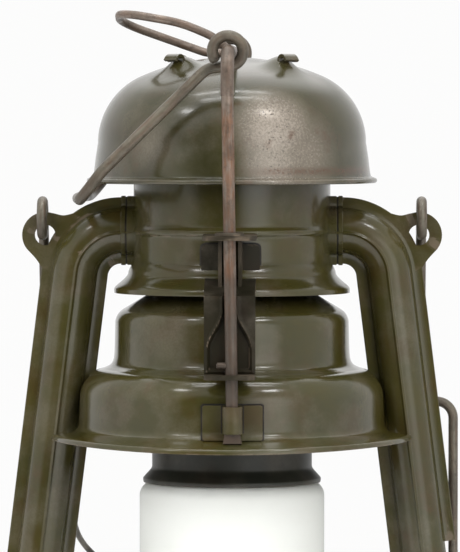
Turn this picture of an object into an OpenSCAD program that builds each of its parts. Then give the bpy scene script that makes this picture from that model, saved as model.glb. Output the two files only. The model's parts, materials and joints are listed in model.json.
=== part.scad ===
// Hurricane lantern with two side tubes, a lifting globe plate and a frosted globe.
// Origin at the centre of the base, +Z up, the front towards -Y.

/* [Tank] */
// Radius of the tank's side wall
tank_r = 57; // [54:0.5:60]
// Height at which the tank's shoulder starts
tank_wall_z = 24; // [20:0.5:28]
// Radius of the tank's shoulder
tank_shoulder_r = 14; // [11:0.5:16]
// Height of the flat top of the tank
tank_top_z = 43; // [42:0.5:46]
// Sheet thickness of the tank
tank_t = 1; // [0.8:0.1:1.5]
// Height of the foot ring
foot_h = 3; // [2:0.5:5]
// Outer radius of the filler neck
neck_r = 9; // [7:0.5:10]
// Height of the filler neck above the tank's top
neck_rise = 5; // [4:0.5:8]
// Wall of the filler cap
cap_wall = 1.9; // [1.5:0.1:3]
// Thickness of the cap's seal
gasket_t = 1.15; // [0.8:0.05:2]

/* [Burner] */
// Outer radius of the burner body
burner_r = 18.5; // [17:0.5:19.5]
// Height of the burner body above its collar
burner_h = 27; // [25:0.5:30]
// Height of the threaded collar on the tank
burner_collar_h = 4; // [3:0.5:6]
// Width of the flat wick
wick_w = 17; // [14:0.5:18]
// Thickness of the flat wick
wick_t = 2.4; // [2:0.1:3]
// Radius of the wick spindle
spindle_r = 1.2; // [1:0.1:1.5]
// Radius of the wick wheels
wheel_r = 3.7; // [3:0.1:4]
// Radius of the wick knob
knob_r = 8; // [6:0.5:10]

/* [Globe] */
// Height of the globe
globe_h = 82; // [78:0.5:90]
// Radius of the globe's neck
globe_neck_r = 23.1; // [22.6:0.1:24]
// Radius of the globe's belly
globe_belly_r = 36.5; // [34:0.5:37.5]
// Radius of the globe's foot
globe_foot_r = 26; // [25.5:0.1:27]
// Thickness of the glass
glass_t = 2; // [1.5:0.1:2.4]
// Radius of the gallery that carries the globe
gallery_r = 38; // [37:0.5:39]

/* [Upper globe plate] */
// Radius of the plate's wide flange
flange_r = 45.4; // [44.5:0.1:46]
// Radius of the wide step
wide_step_r = 38.3; // [37.8:0.1:38.6]
// Radius of the narrow step
narrow_step_r = 29.2; // [28.5:0.1:29.3]
// Radius of the collar over the globe
collar_r = 20; // [19.5:0.1:20.3]
// Sheet thickness of the plate, the crown and the hood
sheet_t = 0.8; // [0.6:0.05:1]

/* [Crown and hood] */
// Radius of the crown's wall
crown_r = 24.6; // [24.2:0.1:25]
// Radius of the crown's flared edge
flare_r = 29.5; // [29:0.1:30]
// Height of the crown
crown_h = 32.1; // [31:0.1:34]
// Radius of the hood's wall at its top
hood_r = 33.5; // [32.5:0.1:34]
// Radius of the hood's rim
hood_rim_r = 36.3; // [35.8:0.1:36.5]
// Height of the hood
hood_h = 31.4; // [30.4:0.1:32]
// Radius of the curve over the hood's top
hood_cap_r = 56.6; // [50:0.2:70]
// Radius of the hood's shoulder
hood_shoulder_r = 18.2; // [16:0.1:20]

/* [Side tubes] */
// Radius of the round part of a tube
tube_r = 5.8; // [5.4:0.1:6.2]
// Half width of a tube across its flanges
tube_flange = 8.3; // [7.9:0.1:8.6]
// Sheet thickness of a tube half
tube_t = 0.8; // [0.6:0.05:1]
// Radius of the upper bend
upper_bend_r = 11.65; // [11:0.05:13]
// Radius of the lower bend
lower_bend_r = 20; // [18:0.5:24]
// Radius of the ear around its hole
ear_r = 5.75; // [5.4:0.05:6.1]
// Radius of the hole in the ear
ear_hole_r = 2.4; // [2.2:0.05:2.6]

/* [Wires] */
// Radius of the lift rods
lift_wire_r = 1.5; // [1.3:0.05:1.6]
// Radius of the finger loop
loop_wire_r = 1.05; // [0.9:0.05:1.2]
// Radius of the bail's wire
bail_wire_r = 1.3; // [1.1:0.05:1.5]
// Radius of the lever's wire
lever_wire_r = 1.2; // [1:0.05:1.4]
// Radius of the guard wires
guard_wire_r = 0.75; // [0.6:0.05:1]
// Length of the bail's straight legs
bail_leg = 82; // [75:1:95]
// Length of the top handle's legs
handle_leg = 51.4; // [51:0.2:54]
// Angle of the stored bail behind the lantern
bail_tilt = 20; // [18:1:30]
// Angle of the stored top handle below the level
handle_drop = 44.8; // [40:0.2:45]

/* [Guides] */
// Width of a rod guide
guide_w = 12.8; // [11:0.1:14]
// Thickness of a rod guide
guide_t = 1.2; // [1:0.1:1.5]
// Travel of the globe and its plate together
lift_travel = 5; // [4:0.5:5]

/* [Hidden] */
$fn = 64;

olive = [0.25, 0.24, 0.15];
bronze = [0.30, 0.26, 0.20];
brass = [0.66, 0.52, 0.25];
frost = [0.90, 0.92, 0.90];
cotton = [0.86, 0.83, 0.74];
cork = [0.62, 0.47, 0.32];

// Clearances
seat_gap = 0.05;
slide_gap = 0.1;
run_gap = 0.05;
free_gap = 0.3;

// How far joined lengths of one wire or tube run into each other, and how much the outer one is larger
lap = 0.05;
swell = 0.02;

// Heights, from the base up
burner_z = tank_top_z + burner_collar_h;
burner_top = burner_z + burner_h;
gallery_t = 1;
gallery_z = burner_top + 1.6;
globe_z = gallery_z + gallery_t + slide_gap;
globe_top = globe_z + globe_h;
collar_z = globe_top - 0.15;
flange_z = collar_z + 11.05;
wide_z = flange_z + 10.4;
wide_corner_r = 7;
narrow_z = flange_z + 28.7;
narrow_corner_r = 4;
cone_slope = 31;
plate_neck_r = 18.75;
crown_z = flange_z + 36.3;
crown_top = crown_z + crown_h;
tube_z = crown_z + 15.5;
hood_z = crown_top - 4.7;
hood_top = hood_z + hood_h;
hood_cap_z = hood_top - hood_cap_r;
hood_corner_x = hood_r - hood_shoulder_r;
hood_corner_z = hood_cap_z + sqrt(pow(hood_cap_r - hood_shoulder_r, 2) - pow(hood_corner_x, 2));
hood_cap_angle = atan2(hood_corner_z - hood_cap_z, hood_corner_x);

// Side tubes, drawn for the right side with X outwards
bend_x = crown_r + 3.15;
bend_z = tube_z - upper_bend_r;
foot_x = tank_r + 0.6;
foot_z = tank_top_z + 19;
foot_reach = norm([foot_x - bend_x, foot_z - bend_z]);
tube_lean = atan2(foot_z - bend_z, foot_x - bend_x) + acos(upper_bend_r / foot_reach);
leg_top = [bend_x + upper_bend_r * cos(tube_lean), bend_z + upper_bend_r * sin(tube_lean)];
leg_len = sqrt(pow(foot_reach, 2) - pow(upper_bend_r, 2));
foot_bend = [foot_x - lower_bend_r * cos(tube_lean), foot_z - lower_bend_r * sin(tube_lean)];
foot_angle = -45;
foot_stub = 20;
notch_from = 68.7;
notch_to = 112;
ear_angle = 29;
ear_reach = upper_bend_r + tube_flange + 1.75;
ear_x = bend_x + ear_reach * cos(ear_angle);
ear_z = bend_z + ear_reach * sin(ear_angle);
function tube_x(z) = leg_top[0] + (leg_top[1] - z) * tan(tube_lean);

// Rods, guides and the handles on top
guide_y = wide_step_r + 0.7;
rod_y = guide_y + guide_t + 0.45 + lift_wire_r;
guide_top = tube_z - 0.2;
clip_z = flange_z + 3.1;
clip_top = clip_z + 6.8;
strap_z = clip_z + 1.2;
guide_bottom = clip_top + lift_travel + 1.7;
run_z = hood_top + 1.2;
run_r = lift_wire_r + 0.15;
rod_seam_z = run_z - 11.6;
handle_wire_r = lift_wire_r - 0.1;
handle_eye_r = run_r + handle_wire_r + 0.65;
handle_y = rod_y - 7.7;
bail_x = ear_x + 0.65;
bail_eye_r = 4.2;
bail_hinge_z = ear_z + bail_eye_r;

// Lever
lever_y = tube_t + lever_wire_r + 1.15;
lever_z = gallery_z - lever_wire_r - 0.15;
lever_pivot_x = tube_x(lever_z) - tube_flange - lever_wire_r - 0.7;
lever_foot_x = gallery_r - 3.2;
lever_ring_r = lever_wire_r + 1.6;

// Filler
neck_angle = -50;
neck_at = (tank_r - 17) * [cos(neck_angle), sin(neck_angle)];
neck_bore = neck_r - 1.5;
neck_top = tank_top_z + neck_rise;
cap_r = neck_r + free_gap + cap_wall;
cap_z = tank_top_z - 0.6;

// Burner insides
wick_slot = 0.3;
wick_wall = 1;
spindle_x = wick_t / 2 + slide_gap + wheel_r;
spindle_z = burner_z + 11;
deck_z = burner_z + 4;

// Points along a circle from one angle to another
function arc(c, r, from, to, n = 12) =
  [for (i = [0:n]) let (a = from + (to - from) * i / n) [c[0] + r * cos(a), c[1] + r * sin(a)]];
function back(list) = [for (i = [len(list) - 1:-1:0]) list[i]];
function unit(v) = v / norm(v);

// Turns a closed sheet outline, its outside and its inside, about the vertical axis
module spun(outside, inside) {
  rotate_extrude() polygon(concat(outside, back(inside)));
}

// A straight length of round wire
module rod(p, q, r) {
  d = q - p;
  translate(p) rotate([0, acos(d[2] / norm(d)), atan2(d[1], d[0])]) cylinder(h = norm(d), r = r);
}

// Round wire through points, with each corner bent to its own radius
module wire(points, bends, r) {
  last = len(points) - 1;
  dirs = [for (i = [0:last - 1]) unit(points[i + 1] - points[i])];
  turns = [for (i = [1:last - 1]) acos(dirs[i - 1] * dirs[i])];
  cuts = concat(0, [for (i = [1:last - 1]) bends[i - 1] * tan(turns[i - 1] / 2)], 0);
  for (i = [0:last - 1])
    rod(points[i] + dirs[i] * (cuts[i] - (i > 0 ? lap : 0)),
      points[i + 1] - dirs[i] * (cuts[i + 1] - (i < last - 1 ? lap : 0)), r);
  for (i = [1:last - 1]) {
    u = dirs[i - 1];
    w = unit(dirs[i] - (u * dirs[i]) * u);
    n = cross(u, w);
    c = points[i] - u * cuts[i] + w * bends[i - 1];
    multmatrix([[-w[0], u[0], n[0], c[0]], [-w[1], u[1], n[1], c[1]], [-w[2], u[2], n[2], c[2]]])
      rotate_extrude(angle = turns[i - 1]) translate([bends[i - 1], 0]) circle(r + swell);
  }
}

// Tank
function tank_outline(t) = concat(
  [[tank_r - t, foot_h + seat_gap]],
  arc([tank_r - tank_shoulder_r, tank_wall_z], tank_shoulder_r - t, 0, 77),
  [[burner_r + 4, tank_top_z - t]]);

module tank_shell() color(olive) difference() {
  spun(concat(tank_outline(0), [[burner_r - 3, tank_top_z]]),
    concat(tank_outline(tank_t), [[burner_r - 3, tank_top_z - tank_t]]));
  translate([neck_at[0], neck_at[1], 0]) cylinder(h = tank_top_z + 1, r = neck_r + slide_gap);
}

module tank_bottom() color(olive) rotate_extrude() polygon([
  [0, foot_h - tank_t], [tank_r - 3.5, foot_h - tank_t], [tank_r - 2.8, 0],
  [tank_r + 1.2, 0], [tank_r + 1.2, foot_h], [0, foot_h]]);

module filler_neck() color(olive) translate([neck_at[0], neck_at[1], neck_top - 15]) difference() {
  cylinder(h = 15, r = neck_r);
  translate([0, 0, -1]) cylinder(h = 17, r = neck_bore);
}

module filler_gasket() color(cork)
  translate([neck_at[0], neck_at[1], neck_top + seat_gap]) cylinder(h = gasket_t, r = neck_r);

module filler_cap() color(olive) translate([neck_at[0], neck_at[1], cap_z]) {
  room = neck_top + gasket_t + 2 * seat_gap - cap_z;
  flutes = 24;
  flute_r = 0.7;
  difference() {
    cylinder(h = room + cap_wall, r = cap_r);
    translate([0, 0, -1]) cylinder(h = room + 1, r = neck_r + free_gap);
    for (i = [0:flutes - 1]) rotate([0, 0, i * 360 / flutes])
      translate([cap_r + 0.25, 0, -1]) cylinder(h = room + cap_wall, r = flute_r);
  }
}

// Burner
module burner_collar() color(brass) translate([0, 0, tank_top_z + seat_gap]) difference() {
  cylinder(h = burner_collar_h - seat_gap, r = burner_r + 1.5);
  translate([0, 0, -1]) cylinder(h = burner_collar_h + 2, r = burner_r - 2.6);
}

module burner_body() color(brass) difference() {
  neck = burner_r - 2.7;
  wall = burner_r - sheet_t;
  union() {
    rotate_extrude() polygon([
      [neck - sheet_t, burner_z - 3], [neck, burner_z - 3], [neck, burner_z + seat_gap],
      [burner_r, burner_z + seat_gap], [burner_r, burner_top], [burner_r - 2, burner_top],
      [burner_r - 2, burner_top - sheet_t], [wall, burner_top - sheet_t], [wall, burner_z + 1],
      [neck - sheet_t, burner_z + 1]]);
    translate([0, 0, deck_z - 1]) cylinder(h = 1, r = wall + sheet_t / 2);
  }
  translate([0, 0, deck_z]) cube([wick_t + 2 * (wick_slot + wick_wall + slide_gap),
    wick_w + 2 * (2 * wick_slot + wick_wall + slide_gap), 4], center = true);
  translate([spindle_x, 0, spindle_z]) rotate([90, 0, 0])
    cylinder(h = burner_r + 2, r = spindle_r + run_gap);
  for (i = [0:11]) rotate([0, 0, 15 + i * 30])
    translate([wall - 2, 0, burner_top - 7]) rotate([0, 90, 0]) cylinder(h = 6, r = 2);
}

cone_z = burner_top + seat_gap;
cone_r = burner_r - 1.7;
cone_h = 11;
cone_foot_t = 1;
function cone_outline(t) = [for (i = [0:12]) let (a = i * 7.5)
  [(cone_r - t) * cos(a), cone_z + cone_foot_t + (cone_h - t) * sin(a)]];

module burner_cone() color(brass) difference() {
  spun(concat([[burner_r - 0.2, cone_z], [burner_r - 0.2, cone_z + cone_foot_t]], cone_outline(0)),
    concat([[cone_r - sheet_t, cone_z]], cone_outline(sheet_t)));
  translate([0, 0, cone_z + cone_h]) cube([5, wick_w + 4, 8], center = true);
}

module wick_tube() color(brass) {
  in_x = wick_t + 2 * wick_slot;
  in_y = wick_w + 4 * wick_slot;
  low = tank_top_z - 13;
  high = burner_top + 7;
  difference() {
    union() {
      translate([0, 0, (low + high) / 2])
        cube([in_x + 2 * wick_wall, in_y + 2 * wick_wall, high - low], center = true);
      translate([0, 0, deck_z + seat_gap + 0.5]) cube([in_x + 5, in_y + 5, 1], center = true);
    }
    translate([0, 0, (low + high) / 2]) cube([in_x, in_y, high - low + 2], center = true);
    translate([(in_x + wick_wall) / 2, 0, spindle_z])
      cube([wick_wall + 1, wick_w - 2, 2 * wheel_r + 1.4], center = true);
  }
}

module wick() color(cotton) {
  low = 14;
  high = burner_top + 10;
  translate([0, 0, (low + high) / 2]) cube([wick_t, wick_w, high - low], center = true);
}

module wick_spindle() color(brass) translate([spindle_x, 0, spindle_z]) rotate([90, 0, 0]) {
  out = tank_r - 4;
  teeth = 12;
  translate([0, 0, -wick_w / 2]) cylinder(h = out + wick_w / 2, r = spindle_r);
  for (y = [-wick_w / 4 - 1, wick_w / 4 - 1]) translate([0, 0, y]) difference() {
    cylinder(h = 2, r = wheel_r);
    for (i = [0:teeth - 1]) rotate([0, 0, i * 360 / teeth])
      translate([wheel_r + 0.1, 0, -1]) cylinder(h = 4, r = 0.6);
  }
}

module wick_knob() color(brass) translate([spindle_x, -(tank_r - 4) + 0.5, spindle_z]) rotate([90, 0, 0]) {
  notches = 18;
  difference() {
    union() {
      cylinder(h = 1.6, r = knob_r);
      translate([0, 0, -3]) cylinder(h = 6, r = 2.6);
    }
    translate([0, 0, -4]) cylinder(h = 4.6, r = spindle_r + run_gap);
    for (i = [0:notches - 1]) rotate([0, 0, i * 360 / notches])
      translate([knob_r + 0.2, 0, -1]) cylinder(h = 4, r = 0.75);
  }
}

// Gallery and globe
globe_belly_z = globe_z + 27.3;
globe_neck_z = globe_top - 17.5;
globe_lip_r = 3.5;

function globe_outline(t) = concat(
  [for (i = [0:10]) let (a = 90 - i * 9)
    [globe_foot_r - t + (globe_belly_r - globe_foot_r) * cos(a),
      globe_belly_z - (globe_belly_z - globe_z) * sin(a)]],
  [for (i = [1:14]) let (s = i / 14)
    [globe_neck_r - t + (globe_belly_r - globe_neck_r) * (1 + cos(180 * s)) / 2,
      globe_belly_z + (globe_neck_z - globe_belly_z) * s]],
  arc([globe_neck_r - globe_lip_r, globe_top - globe_lip_r], globe_lip_r - t, 0, 90, 8));

module globe() color(frost) spun(globe_outline(0), globe_outline(glass_t));

module globe_gallery() color(olive) {
  sleeve = burner_r + 0.5;
  outer_seat = globe_foot_r + 6;
  inner_seat = globe_foot_r - glass_t - 0.4;
  seat_h = 3.4;
  rim_hole_r = (gallery_r - outer_seat - sheet_t) * 0.27;
  top = gallery_z + gallery_t;
  difference() {
    rotate_extrude() polygon([
      [sleeve, gallery_z - 5], [sleeve + sheet_t, gallery_z - 5], [sleeve + sheet_t, gallery_z],
      [gallery_r, gallery_z], [gallery_r, top], [outer_seat + sheet_t, top],
      [outer_seat + sheet_t, top + seat_h], [outer_seat, top + seat_h], [outer_seat, top], [inner_seat, top],
      [inner_seat, top + seat_h], [inner_seat - sheet_t, top + seat_h], [inner_seat - sheet_t, top],
      [sleeve, top]]);
    for (i = [0:23]) rotate([0, 0, i * 15])
      translate([(outer_seat + sheet_t + gallery_r) / 2, 0, gallery_z - 1]) cylinder(h = 3, r = rim_hole_r);
    for (i = [0:19]) rotate([0, 0, i * 18])
      translate([globe_foot_r + 3, 0, gallery_z - 1]) cylinder(h = 3, r = 1.6);
  }
}

// Upper globe plate with its collar
function plate_outline(t) = concat(
  [let (end = [narrow_step_r - narrow_corner_r + (narrow_corner_r - t) * sin(cone_slope),
      narrow_z + (narrow_corner_r - t) * cos(cone_slope)])
    [plate_neck_r, end[1] + (end[0] - plate_neck_r) * tan(cone_slope)]],
  arc([narrow_step_r - narrow_corner_r, narrow_z], narrow_corner_r - t, 90 - cone_slope, 0, 8),
  [[narrow_step_r + 0.3 - t, wide_z + wide_corner_r + 1.2 - t]],
  arc([wide_step_r - wide_corner_r, wide_z], wide_corner_r - t, 82, 0, 10),
  [[wide_step_r + 0.3 - t, flange_z + 3 - t]]);

// Notches that clear the two side tubes over the whole travel
module tube_room() {
  tube_in = tube_x(wide_z + wide_corner_r + lift_travel) - free_gap;
  low = flange_z - 6;
  high = wide_z + wide_corner_r + 1;
  for (side = [0, 1]) mirror([side, 0, 0]) {
    translate([tube_in - tube_r, -tube_r - 2 * free_gap, low])
      cube([flange_r, 2 * tube_r + 4 * free_gap, high - low]);
    translate([tube_in - tube_flange, -tube_t - 2 * free_gap, low])
      cube([flange_r, 2 * tube_t + 4 * free_gap, high - low]);
  }
}

module upper_globe_plate() color(olive) difference() {
  spun(
    concat(plate_outline(0), [[wide_step_r + 1.8, flange_z + 1.7], [flange_r, flange_z + 1]]),
    concat(plate_outline(sheet_t), [[wide_step_r + 1.2, flange_z + 0.8], [flange_r, flange_z]]));
  tube_room();
}

pan_seat_r = wide_step_r - sheet_t - slide_gap;
pan_r = pan_seat_r - 4.5;
collar_lip_r = collar_r + 2.25;
function collar_outline(t) = [
  [pan_seat_r - t * 0.2, flange_z + 2 + t], [pan_r, flange_z + 0.2 + t],
  [collar_r - t + 0.8, flange_z - 0.3 + t], [collar_r - t, flange_z - 1.1],
  [collar_r - t, collar_z + 3.2], [collar_lip_r - t, collar_z + 1], [collar_lip_r - t, collar_z]];

module globe_collar() color(olive) difference() {
  spun(collar_outline(0), collar_outline(sheet_t));
  tube_room();
}

module clip() {
  wall = wide_step_r + 0.45;
  half = 11.2;
  strap_r = lift_wire_r + 1.05;
  strap_h = 5;
  difference() {
    union() {
      rotate([0, 0, -90 - half]) rotate_extrude(angle = 2 * half)
        translate([wall, clip_z]) square([0.9, clip_top - clip_z]);
      translate([0, -rod_y, strap_z]) cylinder(h = strap_h, r = strap_r);
      translate([-strap_r, -rod_y, strap_z]) cube([2 * strap_r, rod_y - wall - 0.4, strap_h]);
    }
    translate([0, -rod_y, clip_z]) cylinder(h = clip_top, r = lift_wire_r + slide_gap);
  }
}
module front_clip() color(olive) clip();
module rear_clip() color(olive) rotate([0, 0, 180]) clip();

// Lift wire: a rod at the front and at the rear, and a thinner finger loop that leans to the left
module lift_wire() color(bronze) {
  spade = [4.5, 1.3, 1.9];
  rod_low = strap_z - 0.3;
  pin_z = guide_bottom + guide_t + 2.2;
  pin_reach = lift_wire_r + 1.8;
  loop_y = 11.8;
  held = 2.5;
  run_end = loop_y + 1.2;
  for (side = [-1, 1]) {
    wire([[0, side * rod_y, rod_seam_z], [0, side * rod_y, run_z], [0, side * run_end, run_z]], [5], run_r);
    rod([0, side * rod_y, rod_low], [0, side * rod_y, rod_seam_z + lap], lift_wire_r);
    translate([0, side * rod_y, rod_low - spade[2] / 2 + 0.2]) cube(spade, center = true);
    translate([side * pin_reach, side * rod_y, pin_z]) rotate([0, -side * 90, 0])
      cylinder(h = pin_reach, r = 0.85);
  }
  wire([
    [0, -run_end - held, run_z], [0, -loop_y, run_z], [-4.9, -loop_y, run_z + 4.3],
    [-11.9, -11.5, run_z + 7], [-28.2, -9.5, run_z + 9.9], [-28.6, 9.5, run_z + 7.6],
    [-6.5, loop_y + 0.2, run_z - 0.1], [0, loop_y + 0.8, run_z], [0, run_end + held, run_z]],
    [2.5, 8, 10, 8, 8, 6, 2.5], loop_wire_r);
}

// Top handle: an open eye on each straight run of the lift wire, stored to the left
module top_handle() color(bronze) {
  eye_turn = 275;
  neck_x = 5.5;
  neck_drop = 0.4;
  bar_x = hood_rim_r + handle_wire_r + 2 * free_gap;
  bar_y = handle_y - 6;
  bends = [6, 4, 6, 6, 4, 6];
  low = run_z - handle_eye_r;
  far = [-handle_leg * cos(handle_drop), run_z - handle_leg * sin(handle_drop)];
  for (side = [-1, 1]) translate([0, side * handle_y, run_z]) rotate([90, 0, 0]) rotate([0, 0, -90])
    rotate_extrude(angle = eye_turn) translate([handle_eye_r, 0]) circle(handle_wire_r + swell);
  wire([[lap, -handle_y, low], [-neck_x, -handle_y, low - neck_drop], [far[0], -handle_y, far[1]],
    [-bar_x, -bar_y, far[1]], [-bar_x, bar_y, far[1]],
    [far[0], handle_y, far[1]], [-neck_x, handle_y, low - neck_drop], [lap, handle_y, low]],
    bends, handle_wire_r);
}

// Crown, hood and the flue between them
function crown_outline(t) = [
  [crown_r - t, crown_top], [crown_r - t, tube_z + 1], [crown_r + 0.5 - t, tube_z + 0.4],
  [crown_r + 0.5 - t, tube_z - 0.6], [crown_r - t, tube_z - 1.2], [crown_r - t, crown_z + 7 - 0.1 * t],
  [crown_r + 1.2 - t, crown_z + 5.9 - 0.3 * t], [crown_r + 1.6 - t, crown_z + 4.4 - 0.5 * t],
  [crown_r + 2.8 - t, crown_z + 3.1 - 0.5 * t], [crown_r + 4.2 - t, crown_z + 1.9 - 0.5 * t],
  [flare_r - t, crown_z + 1.1 - 0.5 * t], [flare_r - t, crown_z]];

// Outline across a whole tube, grown by a margin
module tube_section(grow) {
  circle(tube_r + grow);
  square([2 * (tube_flange + grow), 2 * (tube_t + grow)], center = true);
}

// A straight run of a tube outline, in the upright plane, whose outer side faces an angle
module tube_run(p, angle, length) {
  multmatrix([[cos(angle), 0, sin(angle), p[0]], [sin(angle), 0, -cos(angle), p[1]], [0, 1, 0, 0]])
    linear_extrude(length) children();
}

module crown() color(olive) {
  socket = 3;
  socket_t = 0.9;
  difference() {
    union() {
      spun(crown_outline(0), crown_outline(sheet_t));
      for (side = [0, 1]) mirror([side, 0, 0]) rotate([90, 0, 0])
        tube_run([crown_r - 2.2, tube_z], 90, socket + 2.2) tube_section(slide_gap + socket_t);
    }
    translate([0, 0, crown_z]) cylinder(h = crown_h - 1, r = crown_r - sheet_t);
    for (side = [0, 1]) mirror([side, 0, 0]) rotate([90, 0, 0])
      tube_run([crown_r + slide_gap, tube_z], 90, socket + 2) tube_section(slide_gap);
    translate([0, 0, tube_z]) rotate([0, 90, 0])
      cylinder(h = 2 * crown_r + 4, r = tube_r - tube_t, center = true);
  }
}

tab_at = 18.6;
tab_w = 5;
tab_t = 1.2;
tab_rise = 2.1;
tab_reach = 2.8;
hood_foot_r = hood_r + 1.1;

function hood_outline(t) = concat(
  [[0, hood_top - t]],
  arc([0, hood_cap_z], hood_cap_r - t, 89, hood_cap_angle, 8),
  arc([hood_corner_x, hood_corner_z], hood_shoulder_r - t, hood_cap_angle - 4, 0, 14),
  [[hood_foot_r - t, hood_z + 2]]);

module hood() color(olive) difference() {
  rim = [[hood_rim_r - 0.5, hood_z + 1.3], [hood_rim_r, hood_z + 1], [hood_rim_r, hood_z]];
  spun(concat(hood_outline(0), rim), concat(hood_outline(sheet_t), [[hood_foot_r - sheet_t, hood_z]]));
  for (i = [0:3]) rotate([0, 0, 45 + i * 90]) translate([tab_at, 0, hood_top])
    cube([tab_t + 2 * slide_gap, tab_w + 2 * slide_gap, 20], center = true);
}

module hood_carrier() color(olive) {
  flue_r = tab_at + tab_t / 2;
  seat = crown_top + seat_gap;
  slots = 8;
  tab_z = hood_cap_z + sqrt(pow(hood_cap_r, 2) - pow(tab_at - 1, 2));
  difference() {
    union() {
      translate([0, 0, seat - 12]) cylinder(h = 24, r = flue_r);
      translate([0, 0, seat]) cylinder(h = 1, r = crown_r + 0.6);
    }
    translate([0, 0, seat - 13]) cylinder(h = 26, r = flue_r - tab_t);
    for (i = [0:slots - 1]) rotate([0, 0, 22.5 + i * 45])
      translate([(flue_r + crown_r) / 2, 0, seat - 1]) cylinder(h = 3, r = 1.7);
  }
  for (i = [0:3]) rotate([0, 0, 45 + i * 90]) {
    translate([tab_at - tab_t / 2, -tab_w / 2, seat + 11])
      cube([tab_t, tab_w, tab_z + tab_rise + tab_t - seat - 11]);
    translate([tab_at, -tab_w / 2, tab_z + tab_rise]) cube([tab_reach, tab_w, tab_t]);
  }
}

// Rod guide on the crown, with a flange at the top and bottom that the rod slides through
module guide() {
  reach = rod_y + 3.3;
  foot_low = crown_z + 7.3;
  foot_high = tube_z - 2;
  foot_r = crown_r + 2 * seat_gap;
  web_x = guide_w / 2 - guide_t;
  web_in = sqrt(pow(foot_r + 0.5, 2) - pow(web_x + guide_t / 2, 2));
  bell_r = 4.4;
  bell_z = guide_bottom + 8;
  difference() {
    union() {
      translate([-guide_w / 2, -guide_y - guide_t, guide_bottom])
        cube([guide_w, guide_t, guide_top - guide_bottom]);
      for (z = [guide_bottom, guide_top - guide_t]) translate([-guide_w / 2, -reach, z])
        cube([guide_w, reach - guide_y - guide_t / 2, guide_t]);
      for (x = [-guide_w / 2, web_x]) translate([x, -guide_y - guide_t / 2, foot_low])
        cube([guide_t, guide_y + guide_t / 2 - web_in, foot_high - foot_low]);
      for (side = [0, 1]) mirror([side, 0, 0]) rotate([0, 0, -90 + asin(web_x / foot_r)])
        rotate_extrude(angle = 13) translate([foot_r, foot_low]) square([1, foot_high - foot_low]);
    }
    translate([0, -rod_y, guide_bottom - 1])
      cylinder(h = guide_top - guide_bottom + 2, r = lift_wire_r + slide_gap);
    translate([0, -guide_y - guide_t / 2, bell_z]) rotate([90, 0, 0]) linear_extrude(guide_t) {
      circle(bell_r);
      translate([-bell_r, -4.6]) square([2 * bell_r, 4.6]);
      translate([-bell_r / 2, 0]) square([bell_r, 13]);
    }
  }
}
module front_guide() color(olive) guide();
module rear_guide() color(olive) rotate([0, 0, 180]) guide();

// One pressed half of a side tube, grown a little; outer says whether the outer flange is there
module half_section(outer, grow) {
  round_r = tube_r + grow;
  flange = tube_flange + grow;
  difference() {
    union() {
      intersection() {
        circle(round_r);
        translate([-round_r, 0]) square([2 * round_r, round_r]);
      }
      translate([-flange, 0]) square([flange + (outer ? flange : tube_r - tube_t / 2), tube_t + grow]);
    }
    circle(tube_r - tube_t - grow);
  }
}

module half_bend(c, r, from, to) {
  slip = 0.2;
  translate(c) rotate([0, 0, from - slip]) rotate_extrude(angle = to - from + 2 * slip)
    translate([r, 0]) half_section(true, 0);
}

module tube_half(notched) {
  function at(s) = leg_top + s * [sin(tube_lean), -cos(tube_lean)];
  foot_end = foot_bend + lower_bend_r * [cos(foot_angle), sin(foot_angle)];
  difference() {
    union() {
      tube_run([crown_r + 2 * slide_gap, tube_z], 90, bend_x - crown_r - 2 * slide_gap)
        half_section(true, swell);
      half_bend([bend_x, bend_z], upper_bend_r, tube_lean, 90);
      tube_run(leg_top, tube_lean, notched ? notch_from : leg_len) half_section(true, swell);
      if (notched) {
        tube_run(at(notch_from - lap), tube_lean, notch_to - notch_from + 2 * lap) half_section(false, 0);
        tube_run(at(notch_to), tube_lean, leg_len - notch_to) half_section(true, swell);
      }
      half_bend(foot_bend, lower_bend_r, foot_angle, tube_lean);
      tube_run(foot_end, foot_angle, foot_stub) half_section(true, swell);
      translate([ear_x, ear_z, 0]) cylinder(h = tube_t, r = ear_r);
      translate([bend_x, bend_z, 0]) rotate([0, 0, ear_angle])
        translate([upper_bend_r + tube_r + 1, -ear_r, 0])
          cube([ear_reach - upper_bend_r - tube_r - 1, 2 * ear_r, tube_t]);
    }
    translate([ear_x, ear_z, -1]) cylinder(h = tube_t + 2, r = ear_hole_r);
    rotate([-90, 0, 0]) rotate_extrude()
      polygon(concat([[0, 0]], tank_outline(-slide_gap), [[0, tank_top_z + slide_gap]]));
  }
}

module left_tube_front() color(olive) mirror([1, 0, 0]) rotate([90, 0, 0]) tube_half(false);
module left_tube_rear() color(olive) mirror([1, 0, 0]) mirror([0, 1, 0]) rotate([90, 0, 0]) tube_half(false);
module right_tube_front() color(olive) rotate([90, 0, 0]) tube_half(true);
module right_tube_rear() color(olive) mirror([0, 1, 0]) rotate([90, 0, 0]) tube_half(true);

// Bail, stored behind the lantern, with an open eye around each ear
module bail() color(bronze) translate([0, 0, bail_hinge_z]) rotate([bail_tilt, 0, 0]) {
  eye_turn = 288;
  for (side = [-1, 1]) {
    translate([side * bail_x, 0, 0]) rotate([90, 0, 90]) rotate_extrude(angle = eye_turn)
      translate([bail_eye_r, 0]) circle(bail_wire_r);
    rod([side * bail_x, bail_eye_r, 0], [side * bail_x, bail_eye_r, -bail_leg], bail_wire_r);
  }
  translate([0, bail_eye_r, -bail_leg]) rotate([90, 0, 0]) rotate([0, 0, 180])
    rotate_extrude(angle = 180) translate([bail_x, 0]) circle(bail_wire_r);
}

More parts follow.
